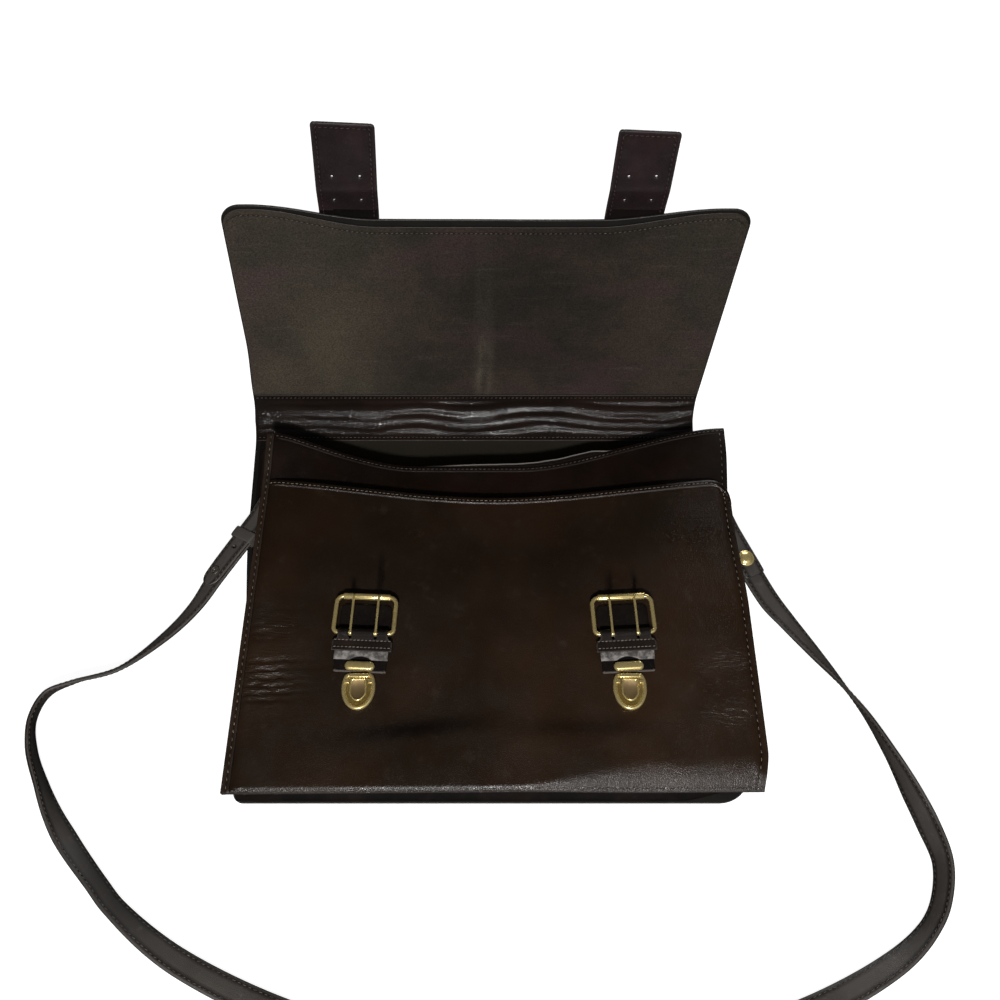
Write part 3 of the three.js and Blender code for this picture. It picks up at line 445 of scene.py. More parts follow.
def liningFinish():    # woven dark lining, seen deep in the mouth
    looks = liningLooks
    finish, tree, shader, place = newFinish("mouthLining")
    yarn = {"Vector": place, "Scale": looks["weave"], "Distortion": looks["uneven"]}
    warp, weft = (addNode(tree, "ShaderNodeTexWave", yarn, bands_direction=way) for way in "XY")
    weave = reckon(tree, "MULTIPLY", warp.outputs["Fac"], weft.outputs["Fac"])
    colour = blendColour(tree, cloudy(tree, place, 22, 5, 0.6), looks["dark"], looks["light"])
    for share, tone in ((weave, looks["yarn"]), (mark(tree, "seam"), looks["cornerShade"])):
        colour = blendColour(tree, share, colour, tone)
    plug(tree, shader, {
        "Base Color": colour, "Normal": raised(tree, weave, 0.5, looks["depth"]),
        "Roughness": looks["rough"], "Specular IOR Level": looks["shine"],
    })
    return finish


metalLooks = {
    "polishedBrass": {
        "colour": (0.93, 0.74, 0.32), "tarnish": (0.6, 0.44, 0.16), "rough": 0.2, "metal": 0.75,
        "fine": 260, "brushed": 0.03,
    },
    "brushedBrass": {
        "colour": (0.27, 0.185, 0.082), "tarnish": (0.17, 0.112, 0.046), "rough": 0.5, "metal": 0.6,
        "fine": 900, "brushed": 0.33,
    },
    "recessBrass": {
        "colour": (0.4, 0.31, 0.115), "tarnish": (0.22, 0.165, 0.055), "rough": 0.4, "metal": 0.75,
        "fine": 900, "brushed": 0.15,
    },
    "darkMetal": {
        "colour": (0.13, 0.115, 0.1), "tarnish": (0.045, 0.038, 0.033), "rough": 0.45, "metal": 0.7,
        "fine": 260, "brushed": 0.03,
    },
}
metalDetail = {
    "smears": 90, "spotEdges": (0.5, 0.8), "spots": 0.6, "dullEdges": (0.3, 0.75), "duller": 0.12,
    "stretch": (9, 1, 1), "depth": 0.0001,
}


def metalFinish(name):
    looks, detail = metalLooks[name], metalDetail
    finish, tree, shader, place = newFinish(name)
    smears = cloudy(tree, place, detail["smears"], 3, 0.5)
    spots = ranged(tree, smears, *detail["spotEdges"], 0, detail["spots"])
    fine = cloudy(tree, stretched(tree, place, detail["stretch"]), looks["fine"], 3)
    dull = ranged(tree, smears, *detail["dullEdges"], looks["rough"], looks["rough"] + detail["duller"])
    plug(tree, shader, {
        "Base Color": blendColour(tree, spots, looks["colour"], looks["tarnish"]), "Roughness": dull,
        "Normal": raised(tree, fine, looks["brushed"], detail["depth"]), "Metallic": looks["metal"],
    })
    return finish


threadLooks = {
    "paleThread": {"dark": (0.1, 0.078, 0.062), "light": (0.27, 0.225, 0.185)},
    "dimThread": {"dark": (0.045, 0.036, 0.029), "light": (0.135, 0.112, 0.092)},
    "darkThread": {"dark": (0.03, 0.018, 0.017), "light": (0.075, 0.05, 0.047)},
}
threadDetail = {
    "cloud": 420, "edges": (0.35, 0.7), "fibre": 2600, "stretch": (1, 1, 3), "depth": 0.0002, "rough": 0.6,
}


def threadFinish(name):
    looks, detail = threadLooks[name], threadDetail
    finish, tree, shader, place = newFinish(name)
    tone = ranged(tree, cloudy(tree, place, detail["cloud"], 3), *detail["edges"])
    fibre = cloudy(tree, stretched(tree, place, detail["stretch"]), detail["fibre"], 2)
    plug(tree, shader, {
        "Base Color": blendColour(tree, tone, looks["dark"], looks["light"]),
        "Normal": raised(tree, fibre, 0.5, detail["depth"]), "Roughness": detail["rough"],
    })
    return finish


hides = {name: hideFinish(name) for name in hideLooks}
edgePaint, shadedFleshSide, paleFlesh = (plainFinish(name) for name in plainLooks)
flapSuede = suedeFinish()
mouthLining = liningFinish()
paleThread, dimThread, darkThread = (threadFinish(name) for name in threadLooks)
polishedBrass, brushedBrass, recessBrass, darkMetal = (metalFinish(name) for name in metalLooks)
print("finishes:", len(bpy.data.materials), "materials")


# mesh building

def facedOut(points, faces):    # turns the faces round if the form is inside out
    volume = 0.0
    corners = np.asarray(points, float)
    for size in {len(face) for face in faces}:
        group = np.array([face for face in faces if len(face) == size])
        for i in range(1, size - 1):
            turned = np.cross(corners[group[:, i]], corners[group[:, i + 1]])
            volume += np.einsum("ij,ij->", corners[group[:, 0]], turned)
    return faces if volume > 0 else [face[::-1] for face in faces]


def makeObject(name, points, faces, finishes, paint=None, marks=None, crisp=None):
    mesh = bpy.data.meshes.new(name)
    mesh.from_pydata(toFrame(points).tolist(), [], facedOut(points, [list(face) for face in faces]))
    for finish in finishes:
        mesh.materials.append(finish)
    if paint is not None:
        mesh.polygons.foreach_set("material_index", np.asarray(paint, np.int32))
    for label, values in (marks or {}).items():
        layer = mesh.attributes.new(label, "FLOAT", "POINT")
        layer.data.foreach_set("value", np.asarray(values, np.float32).ravel())
    mesh.shade_smooth()
    if crisp is not None:
        mesh.set_sharp_from_angle(angle=math.radians(crisp))
    return linked(bpy.data.objects.new(name, mesh))


def seat(made, slot, *nodes):    # the piece stands for its solids and moves with their body
    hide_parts(*nodes)
    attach(made, bodyOf[nodes[0]])


def leather(name):    # finishes of a wall: good side, rough side, edges
    return [hides[name], shadedFleshSide, edgePaint]


def lowered(face, thick):
    return face - (0, 0, thick)


# a wall of leather between two grids of points, with a rounded rim
def wall(name, face, back, finishes, marks=None, bulge=0.55, rimSteps=3):
    rows, columns = face.shape[:2]
    count = rows * columns
    index = np.arange(count).reshape(rows, columns)
    front = np.stack([index[:-1, :-1], index[:-1, 1:], index[1:, 1:], index[1:, :-1]], -1).reshape(-1, 4)
    rear = front[:, ::-1] + count
    rim = np.concatenate([index[0], index[1:, -1], index[-1, -2::-1], index[-2:0:-1, 0]])
    flatFace, flatBack = face.reshape(-1, 3), back.reshape(-1, 3)
    middle = (flatFace[rim] + flatBack[rim]) / 2
    reach = (flatFace[rim] - flatBack[rim]) / 2
    midRow, midColumn = rows // 2, columns // 2
    across = face[midRow, midColumn + 1] - face[midRow, midColumn - 1]
    up = np.cross(across, face[midRow + 1, midColumn] - face[midRow - 1, midColumn])
    side = np.sign(np.dot(up, face[midRow, midColumn] - back[midRow, midColumn]))
    out = side * unit(np.cross(np.roll(middle, -1, 0) - np.roll(middle, 1, 0), reach))
    size = np.linalg.norm(reach, axis=1, keepdims=True) * bulge
    loops, points, used = [rim], [flatFace, flatBack], 2 * count
    for step in range(1, rimSteps + 1):
        angle = math.pi * step / (rimSteps + 1)
        points.append(middle + reach * math.cos(angle) + out * size * math.sin(angle))
        loops.append(used + np.arange(len(rim)))
        used += len(rim)
    loops.append(rim + count)
    sides = []
    for upper, lower in zip(loops, loops[1:]):
        sides.append(np.stack([np.roll(upper, -1), upper, lower, np.roll(lower, -1)], -1))
    sides = np.concatenate(sides)
    faces = np.concatenate([front, rear, sides]).tolist()
    paint = [0] * len(front) + [1] * len(rear) + [2] * len(sides)
    carried = {}
    for label, values in (marks or {}).items():
        flat = values.ravel()
        carried[label] = np.concatenate([flat, 0 * flat] + [flat[rim]] * rimSteps)
    return makeObject(name, np.concatenate(points), faces, finishes, paint, carried)


def loftFaces(count, sections, loop):
    faces = []
    spans = sections if loop else sections - 1
    corner = np.arange(count)
    after = (corner + 1) % count
    for span in range(spans):
        here, there = span * count, (span + 1) % sections * count
        faces += np.stack([here + corner, here + after, there + after, there + corner], -1).tolist()
    if not loop:
        faces.append(list(range(count))[::-1])
        faces.append(list(range((sections - 1) * count, sections * count)))
    return faces


# a skin through rings of equally many points, capped or joined into a loop
def loft(name, sections, finishes, loop=False, marks=None, crisp=None, paintSide=None):
    sections = np.asarray(sections, float)
    faces = loftFaces(sections.shape[1], sections.shape[0], loop)
    paint = None
    if paintSide is not None:
        spans = sections.shape[0] if loop else sections.shape[0] - 1
        paint = list(paintSide) * spans + ([] if loop else [paintSide[0]] * 2)
    return makeObject(name, sections.reshape(-1, 3), faces, finishes, paint, marks, crisp)


def settle(made):    # turns live modifiers into a plain mesh
    bpy.context.view_layer.update()
    shape = made.evaluated_get(bpy.context.evaluated_depsgraph_get())
    plain = bpy.data.meshes.new_from_object(shape)
    made.modifiers.clear()
    old, made.data = made.data, plain
    bpy.data.meshes.remove(old)
    plain.name = made.name
    return made


def cutAway(made, cutters):
    for cutter in cutters:
        knife = made.modifiers.new("cut", "BOOLEAN")
        knife.operation = "DIFFERENCE"
        knife.solver = "EXACT"
        knife.object = cutter
    settle(made)
    for cutter in cutters:
        bpy.data.meshes.remove(cutter.data)
    return made


def fuse(name, parts):    # several loose shapes as one mesh
    joined = bmesh.new()
    finishes = []
    for part in parts:
        shift = len(finishes)
        finishes += list(part.data.materials)
        start = len(joined.faces)
        joined.from_mesh(part.data)
        joined.faces.ensure_lookup_table()
        for face in joined.faces[start:]:
            face.material_index += shift
    mesh = bpy.data.meshes.new(name)
    joined.to_mesh(mesh)
    joined.free()
    for finish in finishes:
        mesh.materials.append(finish)
    for part in parts:
        bpy.data.meshes.remove(part.data)
    return linked(bpy.data.objects.new(name, mesh))


def onSurface(surface, a, b, lift=0.0):    # points on a surface, and the way out of it
    step = 0.05
    a, b = np.broadcast_arrays(np.asarray(a, float), np.asarray(b, float))
    alongA = surface(a + step, b) - surface(a - step, b)
    alongB = surface(a, b + step) - surface(a, b - step)
    up = unit(np.cross(alongA, alongB))
    return surface(a, b) + up * lift, up


# stitches: Geometry Nodes lay one short thread after another along each row

stitch = {"lean": 7.0, "jitter": 5.0, "lift": 0.1, "seed": 4}
threads = {
    "flapStitches": {"pitch": 3.8, "length": 2.3, "thick": 0.6, "thread": dimThread},
    "flapOuterStitches": {"pitch": 3.8, "length": 2.3, "thick": 0.6, "thread": paleThread},
    "bandStitches": {"pitch": 3.8, "length": 2.5, "thick": 0.6, "thread": dimThread},
    "hemStitches": {"pitch": 3.8, "length": 2.7, "thick": 0.7, "thread": paleThread},
    "dividerStitches": {"pitch": 3.8, "length": 2.6, "thick": 0.65, "thread": dimThread},
    "sideStitches": {"pitch": 5.9, "length": 2.7, "thick": 0.68, "thread": paleThread},
    "chapeStitches": {"pitch": 2.9, "length": 2.4, "thick": 0.85, "thread": paleThread},
    "flapStrapStitches": {"pitch": 3.8, "length": 2.7, "thick": 0.7, "thread": darkThread},
    "strapStitches": {"pitch": 4.2, "length": 2.7, "thick": 0.65, "thread": dimThread},
}
seamRows = {}


def sew(group, spots, ups):
    seamRows.setdefault(group, []).append((np.asarray(spots, float), np.asarray(ups, float)))


stitchInputs = {
    "pitch": "Float", "length": "Float", "thick": "Float", "lean": "Float", "jitter": "Float",
    "lift": "Float", "seed": "Int", "thread": "Material",
}


def stitchTree():
    tree = bpy.data.node_groups.new("stitchRow", "GeometryNodeTree")
    tree.interface.new_socket("Geometry", in_out="INPUT", socket_type="NodeSocketGeometry")
    sockets = {}
    for label, kind in stitchInputs.items():
        made = tree.interface.new_socket(label, in_out="INPUT", socket_type="NodeSocket" + kind)
        sockets[label] = made.identifier
    tree.interface.new_socket("Geometry", in_out="OUTPUT", socket_type="NodeSocketGeometry")

    def first(kind, inputs=None, **fields):
        return addNode(tree, kind, inputs, **fields).outputs[0]

    given = addNode(tree, "NodeGroupInput").outputs
    up = first("GeometryNodeInputNamedAttribute", {"Name": "up"}, data_type="FLOAT_VECTOR")
    row = first("GeometryNodeMeshToCurve", {"Mesh": given["Geometry"]})
    row = first("GeometryNodeResampleCurve", {"Curve": row, "Length": given["pitch"]}, mode="LENGTH")
    rise = first("ShaderNodeVectorMath", {0: up, "Scale": given["lift"]}, operation="SCALE")
    row = first("GeometryNodeSetPosition", {"Geometry": row, "Offset": rise})
    bead = first("GeometryNodeMeshUVSphere", {"Segments": 6, "Rings": 5, "Radius": 0.5})
    bead = first("GeometryNodeTransform", {"Geometry": bead, "Rotation": (0, math.pi / 2, 0)})
    size = first("ShaderNodeCombineXYZ", {"X": given["length"], "Y": given["thick"], "Z": given["thick"]})
    thread = first("GeometryNodeTransform", {"Geometry": bead, "Scale": size})
    along = first("GeometryNodeInputTangent")
    align = "FunctionNodeAlignRotationToVector"
    aim = first(align, {"Vector": along}, axis="X")
    aim = first(align, {"Rotation": aim, "Vector": up}, axis="Z", pivot_axis="X")
    lean = {0: given["lean"], 1: given["jitter"]}
    least, most = (first("ShaderNodeMath", lean, operation=sign) for sign in ("SUBTRACT", "ADD"))
    luck = {"Seed": given["seed"], 2: least, 3: most}
    wobble = addNode(tree, "FunctionNodeRandomValue", luck, data_type="FLOAT")
    swing = first("ShaderNodeCombineXYZ", {"Z": wobble.outputs[1]})
    swing = first("FunctionNodeEulerToRotation", {"Euler": swing})
    aim = first("FunctionNodeRotateRotation", {"Rotation": aim, "Rotate By": swing}, rotation_space="LOCAL")
    laid = first("GeometryNodeInstanceOnPoints", {"Points": row, "Instance": thread, "Rotation": aim})
    laid = first("GeometryNodeRealizeInstances", {"Geometry": laid})
    laid = first("GeometryNodeSetShadeSmooth", {"Geometry": laid})
    laid = first("GeometryNodeSetMaterial", {"Geometry": laid, "Material": given["thread"]})
    addNode(tree, "NodeGroupOutput", {"Geometry": laid})
    return tree, sockets


def makeStitches():
    tree, sockets = stitchTree()
    for group, rows in seamRows.items():
        points = np.concatenate([toFrame(spots) for spots, ups in rows])
        ups = np.concatenate([ups for spots, ups in rows])
        edges, start = [], 0
        for spots, _ in rows:
            edges += [(start + i, start + i + 1) for i in range(len(spots) - 1)]
            start += len(spots)
        mesh = bpy.data.meshes.new(group)
        mesh.from_pydata(points.tolist(), edges, [])
        layer = mesh.attributes.new("up", "FLOAT_VECTOR", "POINT")
        layer.data.foreach_set("vector", ups.astype(np.float32).ravel())
        row = linked(bpy.data.objects.new(group, mesh))
        nodes = row.modifiers.new("stitches", "NODES")
        nodes.node_group = tree
        for label in ("pitch", "length", "thick"):
            nodes[sockets[label]] = threads[group][label] / 1000
        nodes[sockets["lift"]] = stitch["lift"] / 1000
        for label in ("lean", "jitter"):
            nodes[sockets[label]] = math.radians(stitch[label])
        nodes[sockets["seed"]] = stitch["seed"]
        nodes[sockets["thread"]] = threads[group]["thread"]
        settle(row)
        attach(row, "bag")
        print("stitches:", group, len(row.data.polygons), "faces")


# back and flap: one hide, flat, round at the hinge, then straight up

back = {
    "flat": 325.0, "hingeRadius": 39.0, "hingeTurn": math.radians(83), "hingeLean": -17.0, "flapLean": -4.0,
    "flapLength": 207.5, "flapCorner": 15.0, "cornerLeft": 8.0, "cornerRight": 28.0, "liningStart": 16.0,
    "liningIn": 4.0, "liningSag": 0.25, "short": 3.2, "crowding": 1.5, "seamIn": 5.5, "seamDark": 0.7,
    "rimWear": 0.5, "rimReach": 2.5,
}
flapBow = {"depth": 0.9, "from": 25.0, "to": 170.0, "reach": (130, 120), "seed": 3.1}
leftBelly = {
    "out": 5.5, "from": 120.0, "full": 240.0, "fades": 375.0, "ends": 450.0, "loses": 0.62, "inner": 90.0,
}
# the outer hide dips less than the suede, so a dark strip of its back shows above the suede's edge in the
# middle: a sheet standing in for the flap's shadow on the backdrop
flapEdge = {"middle": 194.0, "ends": 207.5, "from": 85.0, "to": 180.0, "drop": 4.0}
suedeEdge = {"middle": 188.7, "ends": 205.5, "from": 85.0, "to": 180.0, "drop": 4.0}
rightDrop = {"from": 80.0, "to": 185.0}    # where the flap's edge comes down towards its right ear
hingeEnd = back["flat"] + back["hingeRadius"] * back["hingeTurn"]
band = {
    "start": 7.0, "past": 2.0, "lap": 6.0, "inset": 1.5, "ripple": 2.3, "ripples": 3.1, "seamIn": 3.2,
    "seamDeep": 0.2, "seamEnd": 4.0,
}
bandLow, bandHigh = back["flat"] + band["start"], hingeEnd + band["past"]


def leanAt(along):
    hinge = (back["flat"] + hingeEnd) / 2
    top = lerp(back["hingeLean"], back["flapLean"], (along - hinge) / (hingeEnd + back["flapLength"] - hinge))
    return np.where(along < hinge, back["hingeLean"] * along / hinge, top)


def flapWave(x, along):
    up = along - hingeEnd
    depth = flapBow["depth"] * ease(up, flapBow["from"], flapBow["to"])
    return depth * wander(x, up, *flapBow["reach"], flapBow["seed"])


def leftSpread(x, along):    # the left edge bellies out round the hinge
    out = leftBelly["out"] * ease(along, leftBelly["from"], leftBelly["full"])
    out = out * (1 - leftBelly["loses"] * ease(along, leftBelly["fades"], leftBelly["ends"]))
    return -out * ease(-x, leftBelly["inner"], half)


def backPoint(x, along, depth):
    depth = depth + flapWave(x, along)
    x = x + leftSpread(x, along)
    turn = np.clip((along - back["flat"]) / back["hingeRadius"], 0, back["hingeTurn"])
    straight = np.maximum(along - hingeEnd, 0)
    radius = back["hingeRadius"] - depth
    y = np.minimum(along, back["flat"]) + radius * np.sin(turn) + straight * np.cos(turn)
    z = back["hingeRadius"] - radius * np.cos(turn) + straight * np.sin(turn)
    return np.stack(np.broadcast_arrays(x + leanAt(along), y, z), -1)


def dippedEdge(x, edge):
    drop = edge.get("drop", 0) * ease(x, rightDrop["from"], rightDrop["to"])
    return lerp(edge["middle"], edge["ends"], ease(np.abs(x), edge["from"], edge["to"])) - drop


def cornerDrop(inset, radius):
    short = np.maximum(radius - inset, 0)
    return radius - np.sqrt(np.maximum(radius * radius - short * short, 0))


def flapReach(x, edge):
    return dippedEdge(x, edge) - cornerDrop(half - np.abs(x), back["flapCorner"])


def flapRise(count):    # rows up the flap, closer together towards the free edge
    return 1 - (1 - column(count)[1:]) ** back["crowding"]


def makeBackAndFlap():
    x = half * spread(121)[None, :]
    corner = np.where(x < 0, back["cornerLeft"], back["cornerRight"])
    low = back["short"] + cornerDrop(half - np.abs(x), corner)
    flat = lerp(low, back["flat"], column(40))
    hinge = lerp(back["flat"], hingeEnd, column(30)[1:]) + 0 * x
    reach = flapReach(x, flapEdge)
    along = np.concatenate([flat, hinge, hingeEnd + reach * flapRise(90)])
    inset = np.minimum(half - np.abs(x), hingeEnd + reach - along)
    marks = {
        "seam": back["seamDark"] * bell(inset, back["seamIn"], 0.7) * (along > hingeEnd),
        "wear": back["rimWear"] * (1 - ease(inset, 0, back["rimReach"])),
    }
    made = wall("backAndFlap", outerSurface(x, along), backPoint(x, along, bag["hide"]),
                leather("outerHide"), marks)
    seat(made, "hide", "back_and_flap")


def suedeSurface(x, along):
    return backPoint(x, along, bag["hide"] + gap + bag["lining"])


def outerSurface(x, along):
    return backPoint(x, along, 0.0)


suede = {
    "inset": 1.0, "seamIn": 5.5, "seamCorner": 10.0, "seamLow": 3.0, "seamDark": 0.6,
    "foldX": 5.0, "foldLean": 0.035, "foldReach": 4.2, "foldWide": 3.2, "foldPale": 0.5, "crackDark": 0.35,
    "leftLight": 0.12, "rightLight": 0.01, "rightShade": 0.3, "rightGold": 0.4,
}
foldWear = [    # where the fold up the middle of the suede is rubbed most
    {"up": 20.0, "reach": 13.0, "share": 0.75},
    {"up": 57.0, "reach": 15.0, "share": 0.55},
]


def flapSeam(surface, group, side):    # along the free edge, on the outside also down both sides
    wide = half - suede["seamIn"] - suede["inset"]
    low = hingeEnd + band["past"] + suede["seamLow"]
    across = wide * spread(260)
    top = hingeEnd + dippedEdge(across, suedeEdge) - suede["seamIn"]
    top = top - cornerDrop(wide - np.abs(across), suede["seamCorner"])
    rows = [(across, top)]
    if side < 0:
        high = top[0] - suede["seamLow"]
        rows += [(np.full(60, edge), np.linspace(low, high, 60)) for edge in (-wide, wide)]
    for x, along in rows:
        spots, ups = onSurface(surface, x, along)
        sew(group, spots, ups * side)


def suedeMarks(x, up, reach):
    drift = suede["foldX"] - suede["foldLean"] * up + 1.5 * wander(x, up, 60, 60, 8.2)
    worn = 0.3 * (1 - 0.8 * ease(up, 70, 185))
    for spot in foldWear:
        worn = worn + spot["share"] * bell(up, spot["up"], spot["reach"])
    lobes = sum(bell(x, drift + side * suede["foldReach"], suede["foldWide"]) for side in (-1, 1))
    streak = worn * (lobes + 0.4 * bell(x, drift, 7)) * (0.75 + 0.6 * wander(x, up, 7, 26, 5.5))
    crack = bell(x, drift + 0.5 * wander(x, up, 30, 12, 1.4), 0.8) * (1 - ease(up, 70, 110))
    pale = suede["foldPale"] * np.clip(streak, 0, 1)
    # painted light: the suede is paler towards the left, and a little on the right
    pale = pale + suede["leftLight"] * ease(-x, 30, 150) + suede["rightLight"] * ease(x, 110, 180)
    dark = suede["seamDark"] * bell(reach - up, suede["seamIn"], 0.8) + suede["crackDark"] * crack
    # painted shade right of the middle
    dark = dark + suede["rightShade"] * bell(x, 45, 70) * ease(up, 10, 60)
    # the gold tone, warmer and lighter than the brown on the left, is partly painted light too
    gold = ease(-x, 20, 130) * (1 - 0.8 * ease(up, 60, 170)) + suede["rightGold"] * ease(x, 120, 180)
    return {"seam": np.clip(dark, 0, 1), "wear": np.clip(pale, 0, 1), "gold": np.clip(gold, 0, 1)}


def makeFlapSuede():
    wide = half - suede["inset"]
    x = wide * spread(141)[None, :]
    start = hingeEnd + band["past"] - band["lap"]
    lap = lerp(start, hingeEnd, column(4)) + 0 * x
    reach = flapReach(x * half / wide, suedeEdge)
    along = np.concatenate([lap, hingeEnd + reach * flapRise(120)])
    made = wall("flapSuede", suedeSurface(x, along), backPoint(x, along, bag["hide"] + gap),
                [flapSuede, shadedFleshSide, edgePaint], suedeMarks(x, along - hingeEnd, reach))
    seat(made, "suede", "flap_lining")
    flapSeam(suedeSurface, "flapStitches", 1)
    flapSeam(outerSurface, "flapOuterStitches", -1)


def makeBackLining():
    x = (half - back["liningIn"]) * np.linspace(-1, 1, 60)[None, :]
    along = np.linspace(back["liningStart"], bandLow + band["lap"], 110)[:, None] + 0 * x
    sag = back["liningSag"] * wander(x, along, 40, 40, 6.4)
    depth = bag["hide"] + gap
    face = backPoint(x, along, depth + bag["lining"] + sag)
    cornerShade = {"seam": 0.95 * ease(-x, 160, 178) + 0 * along}    # painted shade in the left corner
    made = wall("mouthLining", face, backPoint(x, along, depth), [mouthLining, shadedFleshSide, edgePaint], cornerShade)
    seat(made, "lining", "back_lining")


# the band over the bend: soft leather that has rippled with the years
def bandDepth(x, along):
    tall = bandHigh - bandLow
    v = (along - bandLow) / tall
    calm = ease(v, 0.1, 0.26) * (1 - ease(v, 0.74, 0.9))
    drift = 0.6 * wander(x, along, 95, 110, 2.7) + 0.1 * wander(x, along, 38, 50, 9.3)
    crests = 0.5 - 0.5 * np.cos(2 * math.pi * (band["ripples"] * v + drift))
    waves = crests ** 1.5 + 0.07 * wander(x, along, 26, 7, 5.2, 3)
    strength = (0.35 + 0.65 * ease(x, -170, -30)) * (0.7 + 0.45 * wander(x, along, 60, 18, 4.9))
    seam = bell(v, band["seamIn"] / tall, 0.012) + bell(v, 1 - band["seamIn"] / tall, 0.012)
    plies = bag["hide"] + bag["lining"] + 2 * gap
    return plies + band["ripple"] * calm * waves * strength - band["seamDeep"] * seam


def bandSurface(x, along):
    return backPoint(x, along, bandDepth(x, along) + bag["lining"])


def makeHingeBand():
    x = (half - band["inset"]) * np.linspace(-1, 1, 200)[None, :]
    along = np.linspace(bandLow, bandHigh, 90)[:, None] + 0 * x
    inset = np.minimum(along - bandLow, bandHigh - along)
    # besides the dark seam lines, the left end is painted darker as shade
    seam = 0.8 * bell(inset, band["seamIn"], 0.7) + 0.15 * (1 - ease(x, -165, -70))
    marks = {"seam": np.clip(seam, 0, 1), "wear": 0.25 * (1 - ease(inset, 0, 1.2))}
    depth = bandDepth(x, along)
    face = backPoint(x, along, depth + bag["lining"])
    made = wall("hingeBand", face, backPoint(x, along, depth), leather("bandHide"), marks)
    seat(made, "smooth_hide", "hinge_band")
    row = np.linspace(-half + band["seamEnd"], half - band["seamEnd"], 300)
    for place in (bandLow + band["seamIn"], bandHigh - band["seamIn"]):
        sew("bandStitches", *onSurface(bandSurface, row, place))


makeBackAndFlap()
makeFlapSuede()
makeBackLining()
makeHingeBand()
print("back, flap and their linings")


# front walls: the divider, the panel of the flat pocket on it, and the strip down the left edge

front = {"height": 40.0, "lowLeft": 1.6, "lowRight": 4.8, "corner": 18.0, "rollDrop": 3.0, "rollReach": 12.0}
frontEdge = {"middle": 250.0, "ends": 270.0, "from": 0.0, "to": 230.0}
frontBow = {"out": 5.5, "from": 35.0, "fades": 150.0, "gone": 230.0, "left": 0.35}
frontSeam = {"top": 3.1, "side": 5.2, "bottom": 1.9, "groove": 0.2, "cornerFrom": 170.0, "corner": 15.0}
frontRoll = {
    "leftReach": 4.5, "rightReach": 26.0, "leftDrop": 2.4, "rightDrop": 8.5, "from": 10.0, "to": 130.0,
}
edgeSteps = [0, 0.35, 0.8, 1.4, 2.1, 2.9, 3.7, 4.5, 5.2, 5.6, 6.0, 6.8, 8.0, 9.6, 11.8]
frontHem = {"rise": 0.9, "width": 5.6, "roll": 1.1}
frontDents = [
    {"x": -70.0, "y": 38.0, "reachX": 90.0, "reachY": 20.0, "depth": 0.9},
    {"x": 140.0, "y": 45.0, "reachX": 45.0, "reachY": 25.0, "depth": 1.2},
    {"x": 10.0, "y": 215.0, "reachX": 120.0, "reachY": 35.0, "depth": 1.0},
]
wrinkles = [
    {"x": -178.0, "y": 104.0, "reachX": 32.0, "reachY": 74.0, "depth": 0.6, "turn": 6.0, "seed": 1.7,
     "zones": ((87, 14, 1.0), (131, 9, 0.6), (163, 9, 0.4), (56, 12, 0.15))},
    {"x": 176.0, "y": 86.0, "reachX": 28.0, "reachY": 66.0, "depth": 0.6, "turn": -14.0, "seed": 7.9,
     "zones": ((104, 9, 0.9), (61, 9, 0.9), (84, 6, 0.3), (142, 8, 0.25))},
]
creaseColumns = ("x", "y", "long", "count", "pitch", "wide", "turn", "depth", "seed")
creaseFields = [dict(zip(creaseColumns, row)) for row in (    # short crisp creases, one above the other
    (-176.0, 87.0, 26.0, 6, 6.4, 1.9, 3, 1.0, 2.1),
    (-181.0, 138.0, 15.0, 6, 5.6, 1.5, 6, 0.5, 3.7),
    (181.0, 106.0, 12.0, 5, 4.4, 1.0, -8, 0.36, 5.6),
    (179.0, 62.0, 14.0, 5, 5.2, 1.0, -16, 0.36, 8.3),
    (150.0, 24.0, 30.0, 4, 4.4, 1.2, 4, 0.22, 9.4),
)]
creaseLuck = {"seed": 7, "pitch": 3.4, "shift": 10, "waver": 2.2, "reach": 14}
noise.seed_set(creaseLuck["seed"])    # noise_vector follows the clock otherwise
frontHollow = {"y": 56.0, "slope": 0.08, "reachY": 16.0, "x": -35.0, "reachX": 90.0, "depth": 0.35}
divider = {
    "height": 31.0, "inset": 0.8, "start": 14.0, "fine": 180.0, "rise": 3.6, "reach": 40.0,
    "sag": 2.0, "sagFrom": 200.0, "sagTo": 283.0, "hem": 0.7, "roll": 0.8, "slack": 0.5,
}
dividerLeft = {"middle": 288.0, "ends": 315.0, "from": 70.0, "to": 200.0}
dividerRight = {"middle": 288.0, "ends": 322.0, "from": 20.0, "to": 190.0}
dividerSeam = {"top": 2.9, "side": 4.8, "groove": 0.2, "left": 8.0, "right": 3.0, "low": 200.0}
dividerCorner = {"peak": -2.5, "from": 150.0, "out": 3.2, "lift": 8.5}


def edgeInset(x, y):
    return np.minimum(half - np.abs(x), y)


def frontLow(x):
    return lerp(front["lowLeft"], front["lowRight"], 0.5 + x / (2 * half))


def frontTop(x):
    return dippedEdge(x, frontEdge) - np.where(x > 0, cornerDrop(half - x, front["corner"]), 0)


def bottomRoll(x, y):    # the panel turns under along its bottom, in a wider bend on the right
    share = ease(x, frontRoll["from"], frontRoll["to"])
    reach = lerp(frontRoll["leftReach"], frontRoll["rightReach"], share)
    drop = lerp(frontRoll["leftDrop"], frontRoll["rightDrop"], share)
    return drop * (1 - np.clip((y - frontLow(x)) / reach, 0, 1)) ** 2


def awayFrom(spot, x, y):    # 0 at a spot's middle, 1 at its reach
    return np.hypot((x - spot["x"]) / spot["reachX"], (y - spot["y"]) / spot["reachY"])


def zoneLevel(fold, y):    # how strong the wrinkles are at each height
    return np.clip(sum(share * bell(y, at, reach) for at, reach, share in fold["zones"]), 0, 1)


